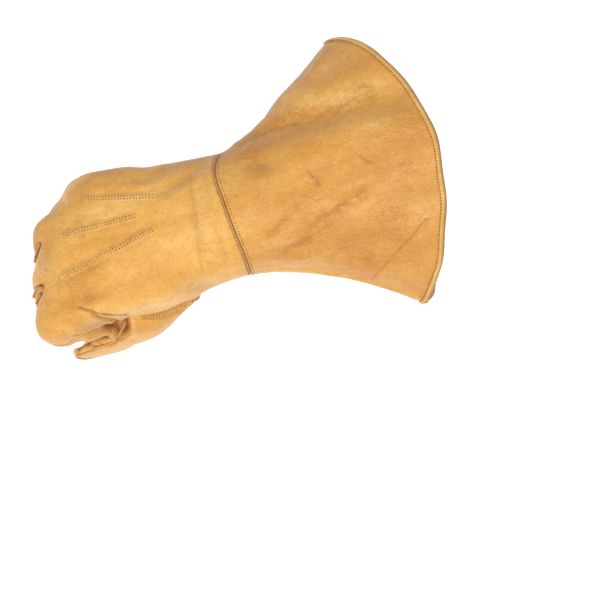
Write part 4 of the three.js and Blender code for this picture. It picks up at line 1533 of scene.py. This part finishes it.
class NodeTree:
    """A Geometry Nodes tree that turns sewn lines into one plain mesh."""

    def __init__(self, name: str, inputs: dict) -> None:
        """Starts the tree.

        Args:
            name: the tree's name.
            inputs: type and first value of each named size.
        """
        self.tree = bpy.data.node_groups.new(name, "GeometryNodeTree")
        face = self.tree.interface
        face.new_socket("Geometry", in_out="INPUT", socket_type="NodeSocketGeometry")
        for key, (kind, value) in inputs.items():
            socket = face.new_socket(key, in_out="INPUT", socket_type=kind)
            if value is not None:
                socket.default_value = value
        face.new_socket("Geometry", in_out="OUTPUT", socket_type="NodeSocketGeometry")
        self.start = self.tree.nodes.new("NodeGroupInput")
        self.end = self.tree.nodes.new("NodeGroupOutput")

    def given(self, name: str) -> Socket:
        """One of the tree's inputs."""
        return self.start.outputs[name]

    def path(self) -> Socket:
        """The given lines as curves."""
        return self.node("GeometryNodeMeshToCurve", {}, {"Mesh": self.given("Geometry")}, "Curve")

    def outward(self) -> Socket:
        """The outward direction that the lines store."""
        return self.node("GeometryNodeInputNamedAttribute", {"data_type": "FLOAT_VECTOR"}, {"Name": "out"}, "Attribute")

    def node(self, kind: str, settings: dict, inputs: dict, output: str) -> Socket:
        """Adds a node and gives the wanted output.

        Args:
            kind: the node's type.
            settings: what is set before its sockets.
            inputs: values or sockets, by name.
            output: the socket that is wanted.

        Returns:
            The output socket.
        """
        return filled(self.tree, kind, settings, inputs).outputs[output]

    def make(self, name: str, seams: Sequence[Seam], values: dict, result: Socket, material: Material) -> Piece:
        """Runs the tree over lines and keeps the plain mesh.

        Args:
            name: the piece's name.
            seams: the lines.
            values: sizes that differ from the tree's own.
            result: the tree's last geometry, before it is realized and its material is set.
            material: the piece's material.

        Returns:
            The piece, at the origin.
        """
        solid = self.node("GeometryNodeRealizeInstances", {}, {"Geometry": result}, "Geometry")
        last = self.node("GeometryNodeSetMaterial", {}, {"Geometry": solid, "Material": material}, "Geometry")
        self.tree.links.new(last, self.end.inputs["Geometry"])
        carrier = self.carrier(name, seams)
        modifier = carrier.modifiers.new(name, "NODES")
        modifier.node_group = self.tree
        for item in self.tree.interface.items_tree:
            if item.in_out == "INPUT" and item.name in values:
                modifier[item.identifier] = values[item.name]
        bpy.context.view_layer.update()
        evaluated = carrier.evaluated_get(bpy.context.evaluated_depsgraph_get())
        mesh = bpy.data.meshes.new_from_object(evaluated)
        carrier.modifiers.remove(modifier)
        bpy.data.objects.remove(carrier)
        mesh.name = name
        mesh.shade_smooth()
        return placed(name, mesh)

    @staticmethod
    def carrier(name: str, seams: Sequence[Seam]) -> Piece:
        """A mesh of edges along lines, which stores their outward directions."""
        points, edges, out = [], [], []
        for seam in seams:
            first = len(points)
            points.extend((seam.points * MM).tolist())
            out.extend(seam.out.tolist())
            count = len(seam.points)
            edges.extend((first + i, first + i + 1) for i in range(count - 1))
            if seam.closed:
                edges.append((first + count - 1, first))
        mesh = bpy.data.meshes.new(name + "_lines")
        mesh.from_pydata(points, edges, [])
        store = mesh.attributes.new("out", "FLOAT_VECTOR", "POINT")
        store.data.foreach_set("vector", np.array(out, dtype=np.float32).ravel())
        return placed(name + "_lines", mesh)


@dataclass
class Sewing:
    """Thread stitches, and dark bodies that paint the shade of their needle holes, along every sewn line. Millimetres.
    """

    pitch: float = 2.3
    thread_length: float = 1.7
    thread_width: float = 0.8
    hole_width: float = 0.92
    seams: list = field(default_factory=list)
    holes_only: list = field(default_factory=list)

    def marks(
        self, name: str, seams: Sequence[Seam], half_size: Triple, shift: Triple, detail: int, material: Material
    ) -> Piece:
        """Sets one small rounded body at every pitch along lines.

        Args:
            name: the piece's name.
            seams: the lines.
            half_size: the body's half sizes along, across and out.
            shift: where it sits from its point, along, across and out.
            detail: how finely it is rounded.
            material: its material.

        Returns:
            The piece.
        """
        tree = NodeTree(name + "_marks", {
            "Pitch": ("NodeSocketFloat", 0.0026),
            "Half Size": ("NodeSocketVector", None),
            "Shift": ("NodeSocketVector", None),
            "Unevenness": ("NodeSocketFloat", 0.12),
        })
        points = tree.node("GeometryNodeResampleCurve", {"mode": "LENGTH"},
                           {"Curve": tree.path(), "Length": tree.given("Pitch")}, "Curve")
        tangent = tree.node("GeometryNodeInputTangent", {}, {}, "Tangent")
        upright = tree.node("FunctionNodeAlignRotationToVector", {"axis": "Z"}, {"Vector": tree.outward()}, "Rotation")
        turned = tree.node("FunctionNodeAlignRotationToVector", {"axis": "X", "pivot_axis": "Z"},
                           {"Rotation": upright, "Vector": tangent}, "Rotation")
        body = tree.node("GeometryNodeMeshIcoSphere", {}, {"Radius": 1.0, "Subdivisions": detail}, "Mesh")
        body = tree.node("GeometryNodeTransform", {},
                         {"Geometry": body, "Scale": tree.given("Half Size"), "Translation": tree.given("Shift")},
                         "Geometry")
        uneven = {0: 1.0, 1: tree.given("Unevenness")}
        low, high = (tree.node("ShaderNodeMath", {"operation": way}, uneven, "Value") for way in ("SUBTRACT", "ADD"))
        size = tree.node("FunctionNodeRandomValue", {"data_type": "FLOAT"}, {2: low, 3: high, "Seed": 17}, "Value")
        bodies = tree.node("GeometryNodeInstanceOnPoints", {},
                           {"Points": points, "Instance": body, "Rotation": turned, "Scale": size}, "Instances")
        values = {
            "Pitch": self.pitch * MM,
            "Half Size": tuple(size * MM for size in half_size),
            "Shift": tuple(step * MM for step in shift),
        }
        piece = tree.make(name, seams, values, bodies, material)
        log.info("%s: %d faces", name, len(piece.data.polygons))
        return piece

    def build(self, thread: Material, hole: Material) -> list[Piece]:
        """Sews every line: threads, and dark bodies between them that paint the shade of the needle holes."""
        stitch = (self.thread_length / 2, self.thread_width / 2, self.thread_width / 2)
        punched = (self.hole_width / 2, self.hole_width / 2, 0.2)
        stitches = self.marks("stitches", self.seams, stitch, (0.0, 0.0, 0.16), 2, thread)
        holes = self.marks("needle_hole_shadows", self.seams + self.holes_only, punched, (self.pitch / 2, 0.0, 0.02), 2, hole)
        return [stitches, holes]


@dataclass(frozen=True)
class Lip:
    """Leather edges that stand up along seams, swept by nodes. Millimetres.

    leaves is how far beside its seam each edge stands, sink how far it reaches into the leather, raw how pale it is.
    """

    height: float = 1.5
    thickness: float = 0.8
    leaves: tuple = (-0.5, 0.5)
    sink: float = 0.8
    raw: float = 0.3

    def build(self, name: str, seams: Sequence[Seam], material: Material) -> Piece:
        """Makes the standing edges of several seams as one piece.

        Args:
            name: the piece's name.
            seams: where they stand.
            material: their leather.

        Returns:
            The piece.
        """
        tree = NodeTree(name + "_sweep", {
            "Thickness": ("NodeSocketFloat", self.thickness * MM),
            "Full Height": ("NodeSocketFloat", (self.height + self.sink) * MM),
        })
        path = tree.node("GeometryNodeSetCurveNormal", {"mode": "FREE"},
                         {"Curve": tree.path(), "Normal": tree.outward()}, "Curve")
        profile = tree.node("GeometryNodeCurvePrimitiveQuadrilateral", {"mode": "RECTANGLE"},
                            {"Width": tree.given("Full Height"), "Height": tree.given("Thickness")}, "Curve")
        profile = tree.node("GeometryNodeFilletCurve", {"mode": "POLY"},
                            {"Curve": profile, "Radius": self.thickness * 0.45 * MM, "Count": 3}, "Curve")
        raised = (0.5 * (self.height - self.sink) * MM, 0.0, 0.0)
        profile = tree.node("GeometryNodeTransform", {}, {"Geometry": profile, "Translation": raised}, "Geometry")
        swept = tree.node("GeometryNodeCurveToMesh", {},
                          {"Curve": path, "Profile Curve": profile, "Fill Caps": True}, "Mesh")
        lines = []
        for seam in seams:
            side = unit(np.cross(np.gradient(seam.points, axis=0), seam.out))
            lines += [Seam(seam.points + side * leaf, seam.out) for leaf in self.leaves]
        piece = tree.make(name, lines, {}, swept, material)
        places, outs = (np.concatenate([getattr(line, key) for line in lines]) for key in ("points", "out"))
        points = np.array([vertex.co[:] for vertex in piece.data.vertices]) / MM
        nearest = np.argmin(np.linalg.norm(points[:, None] - places[None], axis=2), axis=1)
        up = np.einsum("ij,ij->i", points - places[nearest], outs[nearest])
        set_values(piece, "rub_and_highlight", ease(up / self.height - 0.2) * self.raw)
        # painted shade at the foot of the standing edges; their pale tops are raw cut leather
        set_values(piece, "shade", ease(0.9 - up / self.height) * 0.9)
        log.info("%s: %d faces, up %.2f to %.2f", name, len(piece.data.polygons), up.min(), up.max())
        return piece


# ---- wrist strap

@dataclass
class StrapForm:
    """Suede tab, pull strap and steel ring under the thumb side of the wrist. Millimetres.

    Angles run round the wrist from the little finger side. Ways are directions across and up, of the folds round the
    ring and of the free tail. Holes run between places across and along a strap, those of the pull strap before and
    after the ring.
    """

    wrist: WristLine
    hand: HandForm
    width: float = 22.0
    thickness: float = 1.8
    centre: float = 17.0
    lean: float = 4.0
    tail: float = 12.0
    lift: float = 0.45
    ring_wire: float = 2.4
    ring_height: float = 8.0
    ring_drop: float = 3.5
    ring_rounding: float = 0.75
    columns: int = 61
    steps: int = 11
    edge: float = 0.9
    tab_top: float = 225.0
    tab_leaves: float = 232.5
    strap_leaves: float = 262.5
    strap_end: float = 330.0
    strap_step: float = 7.5
    tab_way: Pair = (-1.0, -0.12)
    strap_way: Pair = (0.55, -0.83)
    tail_way: Pair = (0.91, 0.41)
    nap_length: float = 3.5
    nap_height: float = 0.12
    tab_holes: tuple = ((3.0, 11.2), (20.5, 11.2))
    strap_holes: Pair = (1.8, 20.2)
    holes_span: Pair = (-2.0, 14.0)
    # two places across and along the tab, width, depth, shade
    tab_lines: tuple = (
        ((18.5, 1.4), (4.5, 10.6), 0.5, 0.5, 0.8),
        ((19.2, 2.4), (5.2, 11.6), 0.5, -0.25, 0.0),
        ((1.5, 12.3), (20.5, 12.3), 0.4, 0.3, 0.5),
        ((1.3, 1.5), (1.3, 14.0), 0.3, 0.3, 0.75),
        ((21.4, 0.0), (21.4, 14.0), 0.5, 0.3, 0.8),
        ((1.5, 1.1), (20.5, 1.1), 0.3, 0.2, 0.5),
    )

    def palm_point(self, row: Sequence[float], angle: float, offset: float) -> Array:
        """A place of one palm section, moved out by an offset."""
        _, ulnar, radial, top, bottom, square = row
        hand = self.hand
        turn = math.radians(angle)

        def bent(value: float) -> float:
            """Rounds the section's corner."""
            return math.copysign(abs(value) ** (2 / square), value)
        across = (ulnar - radial) / 2 * hand.half_width + offset
        high = (top - bottom) / 2 * hand.half_height + offset
        return np.array([
            -row[0] * hand.length,
            (ulnar + radial) / 2 * hand.half_width + across * bent(math.cos(turn)),
            (top + bottom) / 2 * hand.half_height + high * bent(math.sin(turn)),
        ])

    def hand_side(self, x: float, angle: float, offset: float) -> Array:
        """A place over the hand's wall between wrist and palm."""
        edge = -self.wrist.welt / 2 - self.wrist.gap
        first = self.wrist.point(np.array(angle), offset) + np.array([edge, 0, 0])
        places = [first, *(self.palm_point(row, angle, offset) for row in self.hand.palm)]
        at = next((i for i, place in enumerate(places) if i and place[0] <= x), len(places) - 1)
        share = (places[at - 1][0] - x) / (places[at - 1][0] - places[at][0])
        return places[at - 1] * (1 - share) + places[at] * share

    def lying(self, angle: float, outside: float, inside: float, lean: float = 0.0) -> Array:
        """A station along the hand's wall: places of both faces over the columns."""
        base = self.wrist.leather / 2
        return np.array([
            [self.hand_side(x, angle, base + outside), self.hand_side(x, angle, base + inside)]
            for x in self.across(lean)
        ])

    def free(self, centre: Array, way: Array, lean: float) -> Array:
        """A station in the air round a centre, its outside toward a direction across and up."""
        out = way / np.linalg.norm(way) * self.thickness / 2
        return np.array([[[x, *(centre + out)], [x, *(centre - out)]] for x in self.across(lean)])

    def across(self, lean: float) -> Array:
        """Places of the columns along the hand."""
        return -self.centre + lean + self.width * np.linspace(-0.5, 0.5, self.columns)

    def bars(self) -> tuple[Array, Array, float]:
        """Middles of the ring's two bars, across and up, and the radius of a fold round them."""
        base = self.wrist.leather / 2
        leaving = self.hand_side(-self.centre, self.tab_leaves, base + self.wrist.gap + self.thickness)
        palm_side = self.hand_side(-self.centre, 270.0, base)
        upper = np.array([leaving[1] + 1.5, palm_side[2] - self.ring_drop])
        lower = upper + np.array([1.2, -self.ring_height])
        return upper, lower, self.ring_wire * 0.71 + self.wrist.gap + self.thickness / 2

    def fold(self, bar: Array, start: Pair, turn: float, radius: float, lean: float) -> list[Array]:
        """Stations of a half turn round a bar."""
        first = np.array(start) / math.hypot(*start)
        stations = []
        for share in np.linspace(0, 1, 8):
            angle = turn * math.pi * share
            way = np.array([
                first[0] * math.cos(angle) - first[1] * math.sin(angle),
                first[0] * math.sin(angle) + first[1] * math.cos(angle),
            ])
            stations.append(self.free(bar + way * radius, way, lean))
        return stations

    def ribbon(
        self, name: str, stations: Sequence[Array], lines: Sequence[tuple], seed: int
    ) -> tuple[Piece, Array, Array]:
        """Strap through stations, with rounded raw edges and lines pressed in.

        Args:
            name: the piece's name.
            stations: both faces over the columns, one after another.
            lines: start and end across and along the strap, width, depth and shade of each pressed line.
            seed: fixes its unevenness.

        Returns:
            The piece, its outside's places by station and column, and their lengths along it.
        """
        rows = np.stack(stations)
        dense = refined(rows.reshape(len(rows), -1), self.steps).reshape(-1, self.columns, 2, 3)
        outer, inner = dense[:, :, 0], dense[:, :, 1]
        middle, thick = (outer + inner) / 2, (outer - inner) / 2
        side = np.abs(np.linspace(-1, 1, self.columns))
        start = 1 - self.edge / (self.width / 2)
        full = np.sqrt(np.clip(1 - (np.maximum(side - start, 0) / (1.02 - start)) ** 2, 0.05, 1))
        run = np.concatenate([[0], np.cumsum(np.linalg.norm(np.diff(middle[:, self.columns // 2], axis=0), axis=1))])
        ends = np.clip(np.minimum(run, run[-1] - run) / self.edge, 0, 1)
        body = np.sqrt(1 - (1 - ends) ** 2 * 0.85)
        thick = thick * full[None, :, None] * body[:, None, None]
        spot = np.stack(np.broadcast_arrays(
            np.linspace(0, self.width, self.columns)[None, :], run[:, None]), axis=-1).reshape(-1, 2)
        press, dark = np.zeros(len(spot)), np.zeros(len(spot))
        for first, last, width, depth, shade in lines:
            away, _ = path_distance(spot, np.array([first, last], dtype=float))
            press += bell(away, 0.0, width, depth)
            # painted shade along the pressed lines
            dark = np.maximum(dark, bell(away, 0.0, width, shade))
        press, dark = press.reshape(outer.shape[:2]), dark.reshape(outer.shape[:2])
        lean = thick / np.maximum(np.linalg.norm(thick, axis=2, keepdims=True), 1e-6)
        rough = waviness(middle.reshape(-1, 3), self.nap_length, seed, 20).reshape(press.shape) * self.nap_height
        outside = middle + thick + lean * (rough - press)[..., None]
        inside = middle - thick + lean * rough[..., None]
        count, wide = press.shape
        points = np.concatenate([outside.reshape(-1, 3), inside.reshape(-1, 3)])
        grid = np.arange(count * wide).reshape(count, wide)
        corners = (grid[:-1, :-1], grid[1:, :-1], grid[1:, 1:], grid[:-1, 1:])
        top = np.stack([corner.ravel() for corner in corners], axis=1)
        loop = np.concatenate([grid[:, 0], grid[-1, 1:], grid[-2::-1, -1], grid[0, -2:0:-1]])
        after = np.roll(loop, -1)
        under = count * wide
        sides = np.stack([loop, loop + under, after + under, after], axis=1)
        faces = np.concatenate([top, top[:, ::-1] + under, sides])
        piece = new_piece(name, points, facing_out(points, faces))
        raw = np.maximum(ease((side - 0.9) / 0.08)[None, :] * np.ones((count, 1)), ease(1 - ends * 1.2)[:, None])
        set_values(piece, "rub_and_highlight", np.tile(raw.ravel() * 0.75, 2))
        # painted shade along the pressed lines outside, and an even painted shade underneath
        set_values(piece, "shade", np.concatenate([dark.ravel(), np.full(dark.size, 0.1)]))
        log.info("%s: %d faces", name, len(faces))
        return piece, outside, run

    def row(self, outside: Array, run: Array, start: Pair, end: Pair) -> Seam:
        """A sewn line on a strap, from one place across and along it to another."""
        share = np.linspace(0, 1, 24)
        column = (start[0] + (end[0] - start[0]) * share) / self.width * (self.columns - 1)
        along = np.interp(start[1] + (end[1] - start[1]) * share, run, np.arange(len(run)))
        i, j = np.round(along).astype(int), np.round(column).astype(int)
        i, j = np.clip(i, 1, len(run) - 2), np.clip(j, 1, self.columns - 2)
        out = unit(np.cross(outside[i + 1, j] - outside[i - 1, j], outside[i, j + 1] - outside[i, j - 1]))
        body = outside[i, j] - outside.reshape(-1, 3).mean(0)
        if np.einsum("ij,ij->", out, body) < 0:
            out = -out
        return Seam(outside[i, j], out)

    def build(self) -> tuple[list[Piece], list[Seam]]:
        """Makes tab and pull strap.

        Returns:
            The pieces, and the lines of holes on them.
        """
        upper, lower, radius = self.bars()
        middle = self.lift + self.thickness
        over = middle + self.wrist.gap
        angles = (self.tab_top, (self.tab_top + self.tab_leaves) / 2, self.tab_leaves)
        tab = [self.lying(angle, over + self.thickness, over) for angle in angles]
        tab += self.fold(upper, self.tab_way, 1, radius, self.lean)
        tab += [self.lying(angle, self.lift, middle) for angle in reversed(angles)]
        tab_piece, tab_out, tab_run = self.ribbon("wrist_tab", tab, self.tab_lines, 41)
        angles = np.arange(self.strap_end, self.strap_leaves - 1, -self.strap_step)
        pull = [self.lying(float(angle), middle, self.lift, self.lean) for angle in angles]
        pull += self.fold(lower, self.strap_way, -1, radius, self.lean)
        tail_end = lower - np.array(self.strap_way) * radius + np.array(self.tail_way) * self.tail
        pull.append(self.free(tail_end, np.array([-self.tail_way[1], self.tail_way[0]]), self.lean))
        pull_piece, pull_out, pull_run = self.ribbon("wrist_pull_strap", pull, [], 43)
        turn = float(np.interp(angles.size * self.steps, np.arange(len(pull_run)), pull_run))
        rows = [self.row(tab_out, tab_run, *self.tab_holes)]
        first, last = (turn + step for step in self.holes_span)
        rows += [self.row(pull_out, pull_run, (aside, first), (aside, last)) for aside in self.strap_holes]
        return [tab_piece, pull_piece], rows

    def ring(self) -> Piece:
        """The ring with its edges rounded, made from the frame's own ring."""
        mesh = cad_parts["strap_ring"].data.copy()
        piece = placed("wrist_ring", mesh)
        work = bmesh.new()
        work.from_mesh(mesh)
        bmesh.ops.remove_doubles(work, verts=work.verts, dist=1e-5)
        bmesh.ops.dissolve_limit(work, angle_limit=math.radians(3), verts=work.verts, edges=work.edges)
        inner = [edge for edge in work.edges if len(edge.link_faces) == 2]
        sharp = [edge for edge in inner if edge.calc_face_angle() > math.radians(40)]
        bmesh.ops.bevel(work, geom=sharp, offset=self.ring_rounding * MM, segments=4, profile=0.5, affect="EDGES",
                        clamp_overlap=True)
        work.to_mesh(mesh)
        work.free()
        mesh.materials.clear()
        mesh.shade_smooth()
        return piece


# ---- studio

@dataclass
class Studio:
    """Pale floor, soft light and the camera of the photograph's back view."""

    lens: float = 260.0
    sensor: float = 36.0
    frame_pixels: float = 600.0
    floor_size: float = 14.0
    floor_height: float = -0.42
    brightness: float = 0.42
    panels: tuple = (
        ("key_panel", (-0.6, -0.75, 1.45), 0.8, 19.6, (1.0, 0.985, 0.96)),
        ("fill_panel", (0.9, -0.4, 1.4), 1.2, 6.0, (1.0, 1.0, 1.0)),
        ("back_panel", (-0.4, 1.4, 0.7), 1.2, 2.0, (1.0, 0.99, 0.97)),
    )

    def build(self) -> None:
        """Sets up floor, lights and camera."""
        self.floor()
        self.world()
        for name, place, size, watts, colour in self.panels:
            self.light(name, place, size, watts, colour)
        self.camera()

    def floor(self) -> None:
        """A wide pale floor well below the glove."""
        size = self.floor_size
        mesh = bpy.data.meshes.new("floor")
        corners = [(-size, -size), (size, -size), (size, size), (-size, size)]
        mesh.from_pydata([(x, y, self.floor_height) for x, y in corners], [], [(0, 1, 2, 3)])
        floor = placed("floor", mesh)
        graph = Graph("floor_paper")
        colour = graph.mix(graph.clouds(3.0, 2.0) * 0.1, (0.93, 0.93, 0.93, 1.0), (0.9, 0.9, 0.9, 1.0))
        mesh.materials.append(graph.finish({
            "Base Color": colour, "Roughness": 0.95,
            "Emission Color": (1.0, 1.0, 1.0, 1.0), "Emission Strength": 0.45,
        }))

    def world(self) -> None:
        """Even white light from all round."""
        world = bpy.data.worlds.new("studio")
        world.use_nodes = True
        background = world.node_tree.nodes["Background"]
        background.inputs["Color"].default_value = (1.0, 1.0, 1.0, 1.0)
        background.inputs["Strength"].default_value = self.brightness
        bpy.context.scene.world = world

    @staticmethod
    def light(name: str, place: Triple, size: float, watts: float, colour: Triple) -> None:
        """A square panel of light that faces the glove."""
        lamp = bpy.data.lights.new(name, "AREA")
        lamp.shape = "SQUARE"
        lamp.size = size
        lamp.energy = watts
        lamp.color = colour
        panel = placed(name, lamp)
        panel.location = place
        panel.rotation_mode = "QUATERNION"
        panel.rotation_quaternion = (-Vector(place)).to_track_quat("-Z", "Y")

    def camera(self) -> None:
        """The back view: its middle pixel looks at the same place of the glove as in the photograph."""
        middle = self.frame_pixels / 2
        target = Vector(BACK.place((middle, middle))) * MM
        distance = self.lens / self.sensor * self.frame_pixels * PIXEL * MM
        right, up, toward = (Vector(way) for way in (BACK.right, BACK.up, BACK.toward))
        data = bpy.data.cameras.new("camera")
        data.lens = self.lens
        data.sensor_width = self.sensor
        data.clip_end = 100.0
        camera = placed("camera", data)
        camera.rotation_mode = "QUATERNION"
        camera.rotation_quaternion = Matrix((right, up, toward)).transposed().to_quaternion()
        camera.location = target + toward.normalized() * distance
        bpy.context.scene.camera = camera


# ---- the glove

class Slot(Enum):
    """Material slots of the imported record."""

    HAND = "hand_leather"
    THUMB = "thumb_leather"
    CUFF = "cuff_leather"
    EDGE = "edge_leather"
    STRAP = "strap_suede"
    STEEL = "dark_steel"


def dress(piece: Piece, material: Material, slot: Slot, *nodes: str) -> None:
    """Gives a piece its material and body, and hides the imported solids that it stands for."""
    if not piece.data.materials:
        piece.data.materials.append(material)
    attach(piece, "root")
    if nodes:
        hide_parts(*nodes)


def sew(skin: Skin, holes: Sequence[Seam], leather: Material, edge: Material) -> None:
    """Sews hand and thumb: standing edges, stitches and needle holes.

    Args:
        skin: their outside.
        holes: lines of cuff and strap that show holes alone.
        leather: the hand's leather.
        edge: leather of the standing edges.
    """
    tucks = Lip(0.35, 1.2, (0.0,), raw=0.1)
    dress(tucks.build("back_tucks", [skin.seam(BACK, path) for path in BACK_POINTS], leather), leather, Slot.HAND)
    lips = [skin.seam(SIDE, THUMB_OUTSEAM, evened=60), *(skin.seam(BACK, path) for path in FINGER_OUTSEAMS)]
    dress(Lip().build("finger_lips", lips, edge), edge, Slot.HAND)
    seams = [skin.seam(BACK, path, aside) for path in BACK_POINTS for aside in (-BESIDE, BESIDE)]
    seams += [
        skin.seam(BACK, THUMB_BACK_SEAM), skin.seam(SIDE, THUMB_OUTSEAM, -3.4),
        skin.seam(SIDE, THUMB_SEAM, -BESIDE), skin.seam(SIDE, THUMB_SEAM[:-1], BESIDE),
    ]
    thread = ThreadFinish("waxed_thread", srgb(240, 206, 138), srgb(206, 162, 92)).material()
    # dark bodies that paint the shade of the needle holes
    hole = ThreadFinish("needle_hole_shade", srgb(104, 64, 24), srgb(72, 42, 14), 0.9).material()
    for piece in Sewing(seams=seams, holes_only=holes).build(thread, hole):
        dress(piece, thread, Slot.EDGE)


def main() -> None:
    """Builds the studio and every piece of the glove."""
    logging.basicConfig(level=logging.INFO, format="%(name)s: %(message)s")
    bpy.context.scene.view_settings.view_transform = "Standard"
    Studio().build()
    wrist = WristLine()

    hand_form = HandForm(wrist)
    hand, thumb, skin = hand_form.build()
    leather = LeatherFinish("hand_grain").material()
    dress(hand, leather, Slot.HAND, "hand_shell", "finger_shell")
    dress(thumb, leather, Slot.THUMB, "thumb_shell")

    edge = LeatherFinish("edge_grain", tan=srgb(206, 152, 80), roughness=0.58).material()
    (wall, hem, welt), seams = CuffForm(wrist).build(edge)
    streaked = LeatherFinish("cuff_grain", tan=srgb(222, 162, 76), mottling=1.1, marks=CUFF_MARKS, streak_turn=-22.0)
    dress(wall, streaked.material(), Slot.CUFF, "cuff_shell")
    dress(hem, edge, Slot.EDGE, "rim_binding")
    dress(welt, edge, Slot.EDGE, "wrist_welt")

    strap_form = StrapForm(wrist, hand_form)
    (tab, pull), holes = strap_form.build()
    dress(tab, SuedeFinish("tab_nap").material(), Slot.STRAP, "strap_tab")
    rough = SuedeFinish("strap_nap", tan=srgb(242, 178, 92), deep=srgb(206, 138, 62), pale=srgb(255, 216, 146))
    dress(pull, rough.material(), Slot.STRAP, "pull_strap")
    dress(strap_form.ring(), SteelFinish("ring_steel").material(), Slot.STEEL, "strap_ring")

    sew(skin, holes + seams, leather, edge)


if __name__ == "__main__":
    main()
